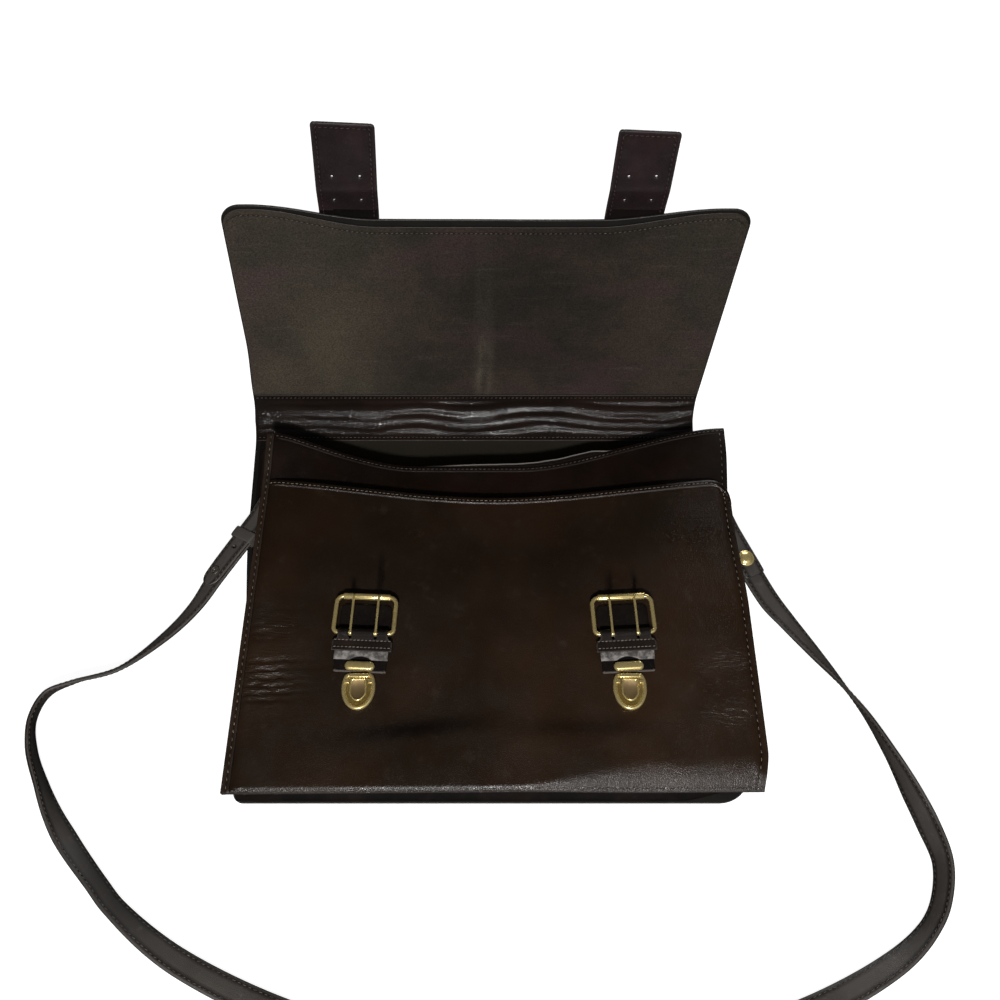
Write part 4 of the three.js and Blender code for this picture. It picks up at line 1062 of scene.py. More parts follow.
def creaseField(x, y, field):
    turn = math.radians(field["turn"])
    along = (x - field["x"]) * math.cos(turn) + (y - field["y"]) * math.sin(turn)
    cross = (y - field["y"]) * math.cos(turn) - (x - field["x"]) * math.sin(turn)
    lines = 0 * along
    for i in range(field["count"]):
        luck = noise.noise_vector(Vector((i * 1.7, field["seed"], 0.4)))
        middle = (i - (field["count"] - 1) / 2) * field["pitch"] + creaseLuck["pitch"] * luck[0]
        long = field["long"] * (0.8 + 0.5 * luck[1])
        waver = creaseLuck["waver"] * wander(along, i * 5.0, creaseLuck["reach"], 1, field["seed"])
        line = bell(cross - middle - waver, 0, field["wide"])
        lines = lines + line * bell(along - creaseLuck["shift"] * luck[2], 0, long)
    return np.clip(lines, 0, 1)


def hollowShape(x, y):
    middle = frontHollow["y"] + frontHollow["slope"] * x
    return bell(y, middle, frontHollow["reachY"]) * bell(x, frontHollow["x"], frontHollow["reachX"])


def frontSolid(x, y):    # the plain form, before hems and wrinkles
    roll = front["rollDrop"] * (1 - ease(half - np.abs(x), 0, front["rollReach"]))
    height = front["height"] - np.maximum(roll, bottomRoll(x, y))
    for dent in frontDents:
        height = height - dent["depth"] * (1 - ease(awayFrom(dent, x, y), 0, 1))
    return height


def frontRelief(x, y):
    fromTop = frontTop(x) - y
    inset = edgeInset(x, y - frontLow(x))
    clear = ease(x, -194, -186)
    hem = frontHem["rise"] * (1 - ease(fromTop, frontHem["width"] - 0.4, frontHem["width"] + 0.3)) * clear
    hem = hem - frontHem["roll"] * (1 - ease(fromTop, 0, 1.6)) * clear
    grooves = bell(fromTop, frontSeam["top"], 0.6) + bell(y - frontLow(x), frontSeam["bottom"], 0.6)
    grooves = grooves + bell(half - x, frontSeam["side"], 0.6)
    relief = hem - frontSeam["groove"] * grooves * clear
    calm = ease(inset, 6, 30) * ease(fromTop, 6, 25)
    relief = relief - 0.8 * calm * (0.5 + 0.5 * wander(x, y, 80, 60, 3.3))
    relief = relief - frontHollow["depth"] * hollowShape(x, y)
    for field in creaseFields:
        relief = relief - field["depth"] * creaseField(x, y, field) * ease(inset, 6, 10)
    for fold in wrinkles:
        near = awayFrom(fold, x, y)
        turn = math.radians(fold["turn"])
        along = x * math.cos(turn) + y * math.sin(turn)
        cross = y * math.cos(turn) - x * math.sin(turn)
        cross = cross + 3 * wander(along, cross, 25, 25, fold["seed"] + 3)
        creases = 1 - np.abs(wander(along, cross, 40, 7.5, fold["seed"], 3)) * 2.2
        level = (1 - ease(near, 0.25, 1.15)) * ease(inset, 5, 9) * (0.2 + 0.8 * zoneLevel(fold, y))
        relief = relief - fold["depth"] * level * np.clip(creases, 0, 1)
    return relief


def frontSurface(x, y):
    fade = 1 - (1 - frontBow["left"]) * ease(y, frontBow["fades"], frontBow["gone"])
    bow = frontBow["out"] * ease(y, 0, frontBow["from"]) * fade * ease(x, 0, half)
    return np.stack(np.broadcast_arrays(x + bow, y, frontSolid(x, y) + frontRelief(x, y)), -1)


def dividerTop(x):
    peak = dividerCorner["peak"] * ease(x, dividerCorner["from"], half)
    return np.where(x < 0, dippedEdge(x, dividerLeft), dippedEdge(x, dividerRight)) + peak


def dividerLift(x, y):    # both corners of the mouth stand up a little
    return dividerCorner["lift"] * ease(np.abs(x), 130, half) * ease(y, 250, 312)


def dividerSolid(x, y):
    rise = divider["rise"] * (1 - ease(edgeInset(x, y), 0, divider["reach"]))
    sag = divider["sag"] * (1 - (x / half) ** 2) * ease(y, divider["sagFrom"], divider["sagTo"])
    return divider["height"] + rise - sag + dividerLift(x, y)


def dividerSurface(x, y):
    fromTop = dividerTop(x) - y
    hem = divider["hem"] * (1 - ease(fromTop, 4.8, 5.5)) - divider["roll"] * (1 - ease(fromTop, 0, 1.5))
    groove = bell(fromTop, dividerSeam["top"], 0.6) + bell(half - x, dividerSeam["side"], 0.6)
    groove = dividerSeam["groove"] * groove
    calm = ease(edgeInset(x, y), 8, 30) * ease(fromTop, 6, 16)
    slack = divider["slack"] * calm * (0.5 + 0.5 * wander(x, y, 55, 45, 5.7))
    height = dividerSolid(x, y) + (hem - groove) * ease(x, -194, -188) - slack
    out = dividerCorner["out"] * ease(x, 120, half) * ease(y, 225, 300)
    return np.stack(np.broadcast_arrays(x + out, y, height), -1)


stainStart = 160.0
prongStains = [
    {"x": -114.5, "length": 22.0}, {"x": -93.0, "length": 48.0},
    {"x": 91.5, "length": 28.0}, {"x": 111.5, "length": 30.0},
]


def prongStain(x, y):    # dark marks that the flap straps have left above the rollers
    stain = 0 * x
    for row in prongStains:
        up = (y - stainStart) / row["length"]
        middle = row["x"] + 0.8 * wander(y, 0, 9, 1, row["x"])
        stain = stain + bell(x, middle, 1.7 + up) * ease(up, -0.15, 0.1) * (1 - ease(up, 0.3, 1))
    return stain


def creaseMark(x, y):    # where the fine bent lines show
    mask = 0 * x
    for fold in wrinkles:
        near = awayFrom(fold, x, y)
        level = 0.12 + 0.88 * zoneLevel(fold, y + 4 * wander(x, y, 18, 18, 2.9))
        mask = mask + level * (1 - ease(near + 0.25 * wander(x, y, 20, 16, 8.8), 0.3, 1.15))
    return np.clip(mask, 0, 1)


hollowShades = [    # painted shade in the hollows below the locks
    {"x": -62.0, "y": 55.4, "slope": 0.1, "reachX": 52.0, "reachY": 8.0, "share": 0.95},
    {"x": 62.0, "y": 51.0, "slope": 0.0, "reachX": 50.0, "reachY": 7.0, "share": 0.55},
]
# wear marks on the front panel, and the light and shade painted on it
frontWearAndLight = {
    "seamWide": 0.8, "seamDark": 0.6, "stain": 0.9, "topShade": 0.3, "shadeFrom": 130.0, "shadeTo": 225.0,
    "rim": 0.3, "rimReach": 1.2, "hem": 0.3, "hemGlintWide": 0.4, "low": 0.1, "lowReach": 4.0, "creaseGlint": 0.3,
    "leftSheen": 0.14, "sheenFrom": 110.0, "sheenTo": 190.0, "sheenY": 105.0, "sheenReach": 62.0,
}


def frontDark(x, y):
    wide = frontWearAndLight["seamWide"]
    dark = bell(frontTop(x) - y, frontSeam["top"], wide) + bell(y - frontLow(x), frontSeam["bottom"], wide)
    dark = frontWearAndLight["seamDark"] * (dark + bell(half - x, frontSeam["side"], wide))
    dark = dark + frontWearAndLight["stain"] * prongStain(x, y)
    for smear in hollowShades:
        level = bell(y - smear["slope"] * x, smear["y"], smear["reachY"])
        dark = dark + smear["share"] * bell(x, smear["x"], smear["reachX"]) * level
    # painted shade, darker towards the top
    dark = dark + frontWearAndLight["topShade"] * ease(y, frontWearAndLight["shadeFrom"], frontWearAndLight["shadeTo"])
    return np.clip(dark, 0, 1)


def frontPale(x, y):
    fromTop = frontTop(x) - y
    rubbed = frontWearAndLight["rim"] * (1 - ease(fromTop, 0, frontWearAndLight["rimReach"]))
    # painted highlight along the hem's lower edge
    rubbed = rubbed + frontWearAndLight["hem"] * bell(fromTop, frontHem["width"] + 0.1, frontWearAndLight["hemGlintWide"])
    rubbed = rubbed + frontWearAndLight["low"] * (1 - ease(y - frontLow(x), 0, frontWearAndLight["lowReach"]))
    leftSheen = ease(-x, frontWearAndLight["sheenFrom"], frontWearAndLight["sheenTo"])    # painted sheen, paler where the left side bends towards the light
    leftSheen = leftSheen * bell(y, frontWearAndLight["sheenY"], frontWearAndLight["sheenReach"])
    rubbed = rubbed + frontWearAndLight["leftSheen"] * leftSheen * (1 + wander(x, y, 16, 9, 4.4))
    # painted highlights along two crease lines
    flat = bell(y, 128 + 0.35 * (x - 60), 0.9) * bell(x, 75, 30) * (wander(x, y, 14, 14, 6.1) > 0.1)
    steep = bell(x, 150 - 0.35 * (y - 165), 1.6) * bell(y, 158, 30) * (wander(x, y, 9, 22, 3.4) > 0)
    return np.clip(rubbed + frontWearAndLight["creaseGlint"] * (flat + steep), 0, 1)


def makeFrontPanel():
    sides = crowded(200, lambda t: 1 + 1.6 * ease(np.abs(t - 0.5), 0.22, 0.36))
    rows = crowded(128, lambda t: 1 + 1.3 * bell(t, 0.32, 0.22))
    x = graded(-half, half, sides, edgeSteps)[None, :]
    y = graded(frontLow(x[0]), frontTop(x[0]), rows, edgeSteps)
    face = frontSurface(x, y)
    marks = {"seam": frontDark(x, y), "wear": frontPale(x, y), "crease": creaseMark(x, y)}
    made = wall("frontPanel", face, lowered(face, bag["hide"]), leather("frontHide"), marks)
    seat(made, "hide", "front_panel")
    wide, turn = half - frontSeam["side"], frontSeam["cornerFrom"]
    bend = turn + (wide - turn) * np.sin(np.linspace(0, 0.5, 30) * math.pi)    # closer round the corner
    row = np.concatenate([np.linspace(-half + 7, turn, 260), bend])
    corner = np.where(row > 0, cornerDrop(wide - row, frontSeam["corner"]), 0)
    top = dippedEdge(row, frontEdge) - frontSeam["top"] - corner
    sew("hemStitches", *onSurface(frontSurface, row, top))
    side = np.linspace(frontLow(wide) + 5, top[-1] - 4, 200)
    sew("sideStitches", *onSurface(frontSurface, np.full(200, wide), side))
    row = np.linspace(-half + 8, wide - 2, 320)
    sew("dividerStitches", *onSurface(frontSurface, row, frontLow(row) + frontSeam["bottom"]))


def makeDivider():
    x = graded(divider["inset"] - half, half - divider["inset"], 140, edgeSteps)[None, :]
    lower = lerp(divider["start"], divider["fine"], column(46)[:-1]) + 0 * x
    upper = graded(np.full(x.shape[1], divider["fine"]), dividerTop(x[0]), 34, edgeSteps)
    y = np.concatenate([lower, upper])
    face = dividerSurface(x, y)
    fromTop = dividerTop(x) - y
    seam = bell(fromTop, dividerSeam["top"], 0.8) + bell(half - x, dividerSeam["side"], 0.8)
    marks = {"seam": np.clip(0.6 * seam, 0, 1), "wear": 0.35 * (1 - ease(fromTop, 0, 1.4))}
    made = wall("dividerWall", face, lowered(face, bag["softHide"]), leather("dividerHide"), marks)
    seat(made, "hide", "divider")
    row = np.linspace(-half + dividerSeam["left"], half - dividerSeam["right"], 320)
    sew("dividerStitches", *onSurface(dividerSurface, row, dividerTop(row) - dividerSeam["top"]))
    side = np.linspace(dividerSeam["low"], dividerTop(half - 5.0) - 6, 90)
    sew("sideStitches", *onSurface(dividerSurface, np.full(90, half - dividerSeam["side"]), side))


facing = {
    "from": -60.0, "to": 104.0, "off": 0.6, "least": 1.6, "most": 4.6, "thick": 1.0, "drop": 0.3,
    "lit": 1.1, "litFrom": -0.4, "litTo": 0.1, "share": 0.95,
}


def makeDividerFacing():    # the inner ply of the divider, showing beyond its edge
    x = np.linspace(facing["from"], facing["to"], 90)[None, :]
    show = lerp(facing["least"], facing["most"], ease(x, -40, 92))
    show = show * (1 - ease(x, 84, 104)) * ease(x, -60, -15) + 0.2
    start = dividerTop(x) + facing["off"]
    y = start + (show + 0.3 * wander(x, 0, 14, 1, 2.6)) * column(16)
    height = dividerSolid(x, dividerTop(x)) - facing["drop"] + 0 * y
    face = np.stack([x + 0 * y, y, height], -1)
    edge = y[-1:] - facing["lit"]    # only its own edge is painted pale as a highlight, the rest dark as the shade of the gap
    lit = ease(y, edge + facing["litFrom"], edge + facing["litTo"])
    marks = {"wear": facing["share"] * lit * ease(x, -60, -20), "seam": facing["share"] * (1 - lit)}
    made = wall("dividerFacing", face, lowered(face, facing["thick"]),
                [hides["facingHide"], shadedFleshSide, shadedFleshSide], marks)
    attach(made, bodyOf["divider"])


strip = {"width": 6.0, "out": 0.5, "thick": 1.3, "lift": 0.45, "low": 1.6, "high": 313.0, "seam": 3.7,
         "crown": 0.35, "seamEnd": 4.0, "worn": 0.3}


def stripSurface(x, y):
    inner = np.maximum(x, -half)
    onDivider = ease(y, frontEdge["ends"] + 1.5, frontEdge["ends"] + 14.5)
    seatHeight = lerp(frontSolid(inner, y), dividerSolid(inner, y), onDivider)
    wide = strip["width"] / 2
    crown = strip["crown"] * (1 - ((x + half + strip["out"] - wide) / wide) ** 2)
    height = seatHeight + strip["lift"] + strip["thick"] + np.maximum(crown, 0)
    return np.stack(np.broadcast_arrays(x, y, height), -1)


def makeEdgeStrip():
    x = (-half - strip["out"] + strip["width"] * np.linspace(0, 1, 13))[None, :]
    y = np.linspace(strip["low"], strip["high"], 220)[:, None] + 0 * x
    face = stripSurface(x, y)
    middle = -half - strip["out"] + strip["seam"]
    worn = strip["worn"] + 0.25 * wander(x, y, 6, 9, 2.2)
    marks = {"seam": 0.6 * bell(x, middle, 0.7) + 0 * y, "wear": worn}
    made = wall("edgeStrip", face, lowered(face, strip["thick"]), leather("frontHide"), marks)
    seat(made, "hide", "edge_strip")
    row = np.linspace(strip["low"] + strip["seamEnd"], strip["high"] - strip["seamEnd"], 260)
    sew("sideStitches", *onSurface(stripSurface, np.full(260, middle), row))


makeFrontPanel()
makeDivider()
makeDividerFacing()
makeEdgeStrip()
print("front panel, divider and edge strip")


# gussets: side walls folded inwards, bottom wall with its corner folds

gusset = {"wall": 1.6, "low": 3.6, "back": 322.0, "front": 312.0, "inset": 1.0, "sharp": 2.2, "slack": 0.35}
gussetHigh = divider["height"] + divider["rise"] - bag["softHide"] - gap
gussets = [
    {"name": "left", "side": -1, "start": 8.0, "bottomFold": 12.0, "mouthFold": 36.0},
    {"name": "right", "side": 1, "start": 20.0, "bottomFold": 8.0, "mouthFold": 26.0},
]
bottom = {
    "outer": 4.2, "inset": 2.5, "tuckFrom": 140.0, "tuckTo": 197.0, "tuck": 10.0, "hollow": 9.0, "short": 2.5,
    "slack": 0.6, "worn": 0.25,
}
bottomFolds = [
    {"x": -178.0, "reach": 17.0, "out": 7.0},
    {"x": 136.0, "reach": 12.0, "out": 4.0},
]


def foldLine(row, y, t):
    upper = row["side"] * (half - gusset["inset"])
    fold = lerp(row["bottomFold"], row["mouthFold"], y / bag["length"])
    fold = fold * (1 - np.abs(2 * t - 1) ** gusset["sharp"])
    return lerp(upper + leanAt(y), upper, t) - row["side"] * fold


def makeSideGusset(row):
    t = np.linspace(0, 1, 41)[None, :]
    v = column(120)
    y = lerp(row["start"], lerp(gusset["back"], gusset["front"], t), v)
    step = 0.01
    slope = (foldLine(row, y, t + step) - foldLine(row, y, t - step)) / (2 * step)
    thick = gusset["wall"] * np.minimum(np.hypot(1, slope / (gussetHigh - gusset["low"])), 2)
    slack = gusset["slack"] * wander(y, t * 40, 22, 14, row["side"] + 4.0) * np.sin(math.pi * t)
    x = foldLine(row, y, t) + slack
    z = lerp(gusset["low"], gussetHigh + dividerLift(half, y), t)
    face = np.stack([x, y, z], -1)
    inner = np.stack([x - row["side"] * thick, y, z], -1)
    crease = 0.5 * bell(t, 0.5, 0.03) + 0 * y
    made = wall("sideGusset." + row["name"], face, inner, leather("outerHide"),
                {"seam": 0.6 * crease, "wear": 0.2 * crease})
    seat(made, "hide", "side_gusset_" + row["name"])


def makeBottomGusset():
    x = ((half - bottom["inset"]) * np.linspace(-1, 1, 260))[None, :]
    v = column(27)
    tuck = bottom["tuck"] * ease(x, bottom["tuckFrom"], bottom["tuckTo"])
    out = 0 * x
    for fold in bottomFolds:
        out = out + fold["out"] * (1 - ease(np.abs(x - fold["x"]) / fold["reach"], 0, 1))
    slack = bottom["slack"] * wander(x, v * 30, 30, 12, 1.2) * np.sin(math.pi * v)
    y = bottom["outer"] + tuck + bottom["hollow"] * ease(v, 0, 0.5) - out * np.sin(math.pi * v) + slack
    high = dividerSolid(x, bottom["outer"] + tuck + bag["hide"]) - bag["softHide"] - 2 * gap - bottom["short"]
    z = lerp(bag["hide"] + gap, high, v)
    face = np.stack(np.broadcast_arrays(x, y, z), -1)
    inner = face + (0, bag["hide"], 0)
    rubbed = bottom["worn"] * np.clip(wander(x, v * 30, 12, 10, 9.9), 0, 1) + 0.1 * out / 7
    made = wall("bottomGusset", face, inner, leather("gussetShadedHide"), {"wear": rubbed, "seam": 0 * rubbed})
    seat(made, "hide", "bottom_gusset")


for row in gussets:
    makeSideGusset(row)
makeBottomGusset()
print("gussets")


# closures: tab, chape and double buckle above, hasp and lock below

closures = [
    {"name": "left", "x": -104.5, "turn": -2.5},
    {"name": "right", "x": 104.5, "turn": 3.0},
]
haspCentre, lockTop = 98.0, 92.4
tab = {"start": -4.5, "end": 52.5, "width": 41.0, "thick": 1.5, "corner": 5.0, "lowCorner": 1.2, "worn": 0.75}
chape = {"start": 5.0, "upperStart": 12.0, "lowWidth": 42.0, "width": 47.0, "loopWidth": 39.0, "layer": 1.5,
         "slot": 2.7, "slotBack": 5.2, "scoop": 14.0, "scoopDepth": 3.0, "seams": (14.8, 20.2)}
buckle = {"width": 51.0, "bar": 26.5, "reach": 31.0, "wire": 1.7, "topCorner": 6.0, "lowCorner": 4.0}
roller = {"length": 37.6, "radius": 2.65, "edge": 0.5, "seamAt": 2.2, "seamWidth": 0.16, "seamDepth": 0.3}
tongue = {"spacing": 20.0, "width": 1.9, "eye": 2.45, "shaft": 2.0, "past": 0.3, "edge": 0.5}
hasp = {"width": 23.4, "length": 7.5, "height": 3.4, "corner": 3.6}
lock = {"top": 9.0, "width": 13.0, "length": 29.0, "waist": 0.4, "floor": 1.4, "rim": 3.4}
bridge = {"width": 15.0, "start": 0.6, "end": 4.0, "height": 4.2, "corner": 0.5}
lug = {"from": 7.3, "to": 10.6, "start": 5.2, "end": 8.4, "height": 3.4, "corner": 0.4}
latch = {
    "start": 4.6, "width": 13.2, "straight": 12.0, "point": 6.0, "round": 2.2, "height": 2.5, "rim": 1.4,
    "hollow": 0.6,
}
chapeLow = tab["thick"] + 2 * gap
loopHole = buckle["wire"] + gap
loopRadius = loopHole + chape["layer"]
barHeight = chapeLow + loopRadius


def onClosure(points, closure, centre=haspCentre, turned=True):
    points = np.asarray(points, float)
    turn = math.radians(closure["turn"]) if turned else 0.0
    x = points[..., 0] * math.cos(turn) - points[..., 1] * math.sin(turn) + closure["x"]
    y = points[..., 0] * math.sin(turn) + points[..., 1] * math.cos(turn) + centre
    return np.stack([x, y, points[..., 2] + front["height"]], -1)


def onLock(points, closure):
    return onClosure(points, closure, lockTop, False)


def roundedRect(left, low, right, high, lowCorner, highCorner, steps=8):
    corners = [(right, low, -1, 1, lowCorner, -90), (right, high, -1, -1, highCorner, 0),
               (left, high, 1, -1, highCorner, 90), (left, low, 1, 1, lowCorner, 180)]
    points = []
    for x, y, inX, inY, radius, start in corners:
        for angle in np.radians(start + np.linspace(0, 90, steps)):
            points.append((x + inX * radius + radius * math.cos(angle),
                           y + inY * radius + radius * math.sin(angle)))
    return np.array(points)


def stacked(outline, levels):    # an outline at each inset and height, from the bottom over the rim
    rings = [(outline(inset), height) for inset, height in levels]
    return [np.column_stack([ring, np.full(len(ring), height)]) for ring, height in rings]


def wireLoop(line, height, wide, tall, sides=14):    # wire with a softly squared section along a closed line
    along = unit(np.roll(line, -1, 0) - np.roll(line, 1, 0))
    angles = around(sides)
    soft = 0.8
    outs = wide * np.sign(np.cos(angles)) * np.abs(np.cos(angles)) ** soft
    ups = tall * np.sign(np.sin(angles)) * np.abs(np.sin(angles)) ** soft
    x = line[:, 0, None] + along[:, 1, None] * outs
    y = line[:, 1, None] - along[:, 0, None] * outs
    return np.stack([x, y, np.broadcast_to(height + ups, x.shape)], -1)


def makeLockTab(closure):
    wide = tab["width"] / 2

    def outline(inset):
        return roundedRect(-wide + inset, tab["start"] + inset, wide - inset, tab["end"] - inset,
                           tab["lowCorner"], tab["corner"] - inset)

    top = gap + tab["thick"]
    levels = [(0.3, gap), (0, gap + 0.3), (0, top - 0.4), (0.15, top - 0.15), (0.5, top), (1.6, top)]
    rings = np.array(stacked(outline, levels))
    worn = np.where(rings[..., 1] < tab["start"] + tab["lowCorner"], tab["worn"], 0.0)
    made = loft("lockTab." + closure["name"], onClosure(rings, closure), [hides["tabHide"]],
                marks={"wear": worn, "seam": 0 * worn})
    seat(made, "hide", "lock_tab_" + closure["name"])


# the chape: up from its scooped edge, round the lower bar, and back down on itself
def chapeLine(x):
    layer = chape["layer"]
    scoop = np.sqrt(np.maximum(chape["scoop"] ** 2 - x ** 2, 0)) - chape["scoop"] + chape["scoopDepth"]
    start = chape["start"] + np.maximum(scoop, 0)
    lowY = lerp(start, buckle["bar"], column(24))
    lowZ = np.full_like(lowY, chapeLow + layer / 2)
    angle = np.linspace(-90, 120, 25)[1:, None] * math.pi / 180 + 0 * x
    bend = loopHole + layer / 2
    loopY = buckle["bar"] + bend * np.cos(angle)
    loopZ = barHeight + bend * np.sin(angle)
    t = column(26)[1:] + 0 * x
    topY = lerp(loopY[-1], chape["upperStart"], t)
    topZ = lerp(loopZ[-1], chapeLow + 1.5 * layer + 0.1, ease(t, 0, 0.36))
    return np.concatenate([lowY, loopY, topY]), np.concatenate([lowZ, loopZ, topZ])


def makeChape(closure):
    u = spread(61)[None, :]
    y, z = chapeLine(u * chape["lowWidth"] / 2)
    rows = len(y)
    row = np.arange(rows)[:, None]
    wide = lerp(chape["lowWidth"], chape["loopWidth"], ease(row, 14, 22))
    wide = lerp(wide, chape["width"], ease(row, rows - 22, rows - 14)) / 2
    x = u * wide
    slopeY, slopeZ = np.gradient(y, axis=0), np.gradient(z, axis=0)
    size = np.maximum(np.hypot(slopeY, slopeZ), 1e-6)
    outY, outZ = slopeZ / size, -slopeY / size    # away from the bar on the loop
    reach = chape["layer"] / 2
    outer = np.stack(np.broadcast_arrays(x, y + outY * reach, z + outZ * reach), -1)
    inner = np.stack(np.broadcast_arrays(x, y - outY * reach, z - outZ * reach), -1)
    upper = row > rows - 26
    seam = sum(bell(y, place, 0.5) for place in chape["seams"]) * upper + ease(y, 21.5, 24.5)
    worn = 0.25 * (1 - ease(wide - np.abs(x), 0, 1.4)) + 0 * y
    made = wall("buckleChape." + closure["name"], onClosure(outer, closure), onClosure(inner, closure),
                [hides["chapeHide"], paleFlesh, edgePaint], {"seam": 0.7 * seam, "wear": worn}, 0.5, 2)
    cutters = []
    for side in (-1, 1):
        left, low = side * tongue["spacing"] / 2 - chape["slot"] / 2, buckle["bar"] - chape["slotBack"]
        slot = roundedRect(left, low, left + chape["slot"], buckle["bar"] + 8, 1, 1, 3)
        knife = stacked(lambda inset: slot, [(0, -1.0), (0, barHeight + 8)])
        cutters.append(loft("slot", onClosure(knife, closure), [edgePaint]))
    cutAway(made, cutters)
    seat(made, "hide", "buckle_chape_" + closure["name"])
    reachX = np.linspace(-chape["width"] / 2 + 2.2, chape["width"] / 2 - 2.2, 40)
    lineY, lineZ = chapeLine(np.zeros((1, 1)))
    for place in chape["seams"]:
        spot = rows - 25 + int(np.argmin(np.abs(lineY[rows - 25:, 0] - place)))
        height = lineZ[spot, 0] + reach / abs(float(outZ[spot, 30]))
        line = np.column_stack([reachX, np.full(40, lineY[spot, 0]), np.full(40, height)])
        up = np.array([0, float(outY[spot, 30]), float(outZ[spot, 30])])
        sew("chapeStitches", onClosure(line, closure), np.tile(up, (40, 1)))


def makeBuckle(closure):
    wide = buckle["width"] / 2 - buckle["wire"]
    line = roundedRect(-wide, buckle["bar"], wide, buckle["bar"] + buckle["reach"],
                       buckle["lowCorner"], buckle["topCorner"], 10)
    sides = zip(line, np.roll(line, -1, 0))
    line = np.concatenate([lerp(a, b, column(4)[:-1]) for a, b in sides])
    wire = wireLoop(line, barHeight, buckle["wire"], buckle["wire"])
    made = loft("buckleFrame." + closure["name"], onClosure(wire, closure), [polishedBrass], loop=True)
    seat(made, "brass", "buckle_frame_" + closure["name"])


def makeRoller(closure):    # a rolled tube with its seam left open a little
    middle = buckle["bar"] + buckle["reach"]
    end, radius, edge = roller["length"] / 2, roller["radius"], roller["edge"]
    hole = buckle["wire"] + gap
    rim = [(end, hole), (end, radius - edge), (end - 0.3 * edge, radius - 0.3 * edge), (end - edge, radius)]
    profile = [(-x, r) for x, r in rim] + rim[::-1]
    rings = []
    for angle in around(48):
        away = (angle - roller["seamAt"]) % (2 * math.pi)
        seam = roller["seamDepth"] * bell(away, 0.0, roller["seamWidth"]) / (radius - hole)
        rings.append([(x, middle + (r - seam * (r - hole)) * math.cos(angle),
                       barHeight + (r - seam * (r - hole)) * math.sin(angle)) for x, r in profile])
    rings = onClosure(rings, closure)
    made = loft("buckleRoller." + closure["name"], rings, [polishedBrass], loop=True, crisp=50)
    seat(made, "brass", "buckle_roller_" + closure["name"])


def curved(start, control, finish, steps):
    t = column(steps)[1:]
    return (1 - t) ** 2 * np.array(start) + 2 * t * (1 - t) * np.array(control) + t ** 2 * np.array(finish)


def tongueOutline(inset):
    end = buckle["bar"] + buckle["reach"]
    rest = barHeight + roller["radius"] + gap
    eye = tongue["eye"]
    angles = np.radians(np.linspace(90, 360, 28))
    ring = np.column_stack([buckle["bar"] + eye * np.cos(angles), barHeight + eye * np.sin(angles)])
    tip, top = end + tongue["past"], rest + tongue["shaft"]
    shaft = [(buckle["bar"] + eye + 1.5, barHeight + 1), (end - 4, rest), (tip - 1, rest)]
    line = np.concatenate([ring, shaft, curved((tip - 1, rest), (tip, rest), (tip, rest + 1), 5),
                           curved((tip, rest + 1), (tip - 1, top), (end - 3, top), 7)])
    along = unit(np.roll(line, -1, 0) - np.roll(line, 1, 0))
    return line + inset * np.column_stack([-along[:, 1], along[:, 0]])


def makeTongue(closure, side, place):
    wide, edge = tongue["width"] / 2, tongue["edge"]
    middle = side * tongue["spacing"] / 2
    levels = [(edge, -wide), (0.3 * edge, -wide + 0.3 * edge), (0, -wide + edge)]
    rings = []
    for inset, x in levels + [(inset, -x) for inset, x in levels[::-1]]:
        line = tongueOutline(inset)
        rings.append(np.column_stack([np.full(len(line), x + middle), line]))
    made = loft("buckleTongue." + closure["name"] + "." + place, onClosure(rings, closure), [polishedBrass])
    bore = [[(middle + x, buckle["bar"] + loopHole * math.cos(a), barHeight + loopHole * math.sin(a))
             for a in around(24)] for x in (-4, 4)]
    cutAway(made, [loft("bore", onClosure(bore, closure), [polishedBrass])])
    made.data.set_sharp_from_angle(angle=math.radians(40))
    seat(made, "brass", "buckle_tongue_" + closure["name"] + "_" + place)


def bezier(a, b, c, d, steps):
    t = column(steps)[1:]
    a, b, c, d = (np.array(point, float) for point in (a, b, c, d))
    return (1 - t) ** 3 * a + 3 * t * (1 - t) ** 2 * b + 3 * t ** 2 * (1 - t) * c + t ** 3 * d


def eggOutline(inset):
    top = lock["top"] - inset / 2
    wide = lock["width"] - inset
    end = -lock["length"] + inset
    waist = -lock["waist"] * lock["length"]
    flat = np.column_stack([np.linspace(top, -top, 9), np.full(9, -inset)])
    return np.concatenate([
        flat,
        bezier((-top, -inset), (-wide + 1, -inset - 1), (-wide, waist / 2), (-wide, waist), 12),
        bezier((-wide, waist), (-wide, 0.7 * end), (-0.6 * wide, end), (0, end), 18),
        bezier((0, end), (0.6 * wide, end), (wide, 0.7 * end), (wide, waist), 18),
        bezier((wide, waist), (wide, waist / 2), (wide - 1, -inset - 1), (top, -inset), 12)[:-1],
    ])


def latchOutline(inset):
    wide = latch["width"] / 2 - inset
    flat = np.column_stack([np.linspace(wide, -wide, 9), np.full(9, -latch["start"] - inset)])
    across = spread(30)
    low = -latch["start"] - latch["straight"]
    drop = (latch["point"] - inset) * (1 - np.abs(across) ** latch["round"])
    return np.concatenate([flat, np.column_stack([wide * across, low - drop])])


def block(closure, left, low, right, high, corner, levels):
    def outline(inset):
        return roundedRect(left + inset, low + inset, right - inset, high - inset, corner, corner, 4)

    return loft("block", onLock(stacked(outline, levels), closure), [polishedBrass])


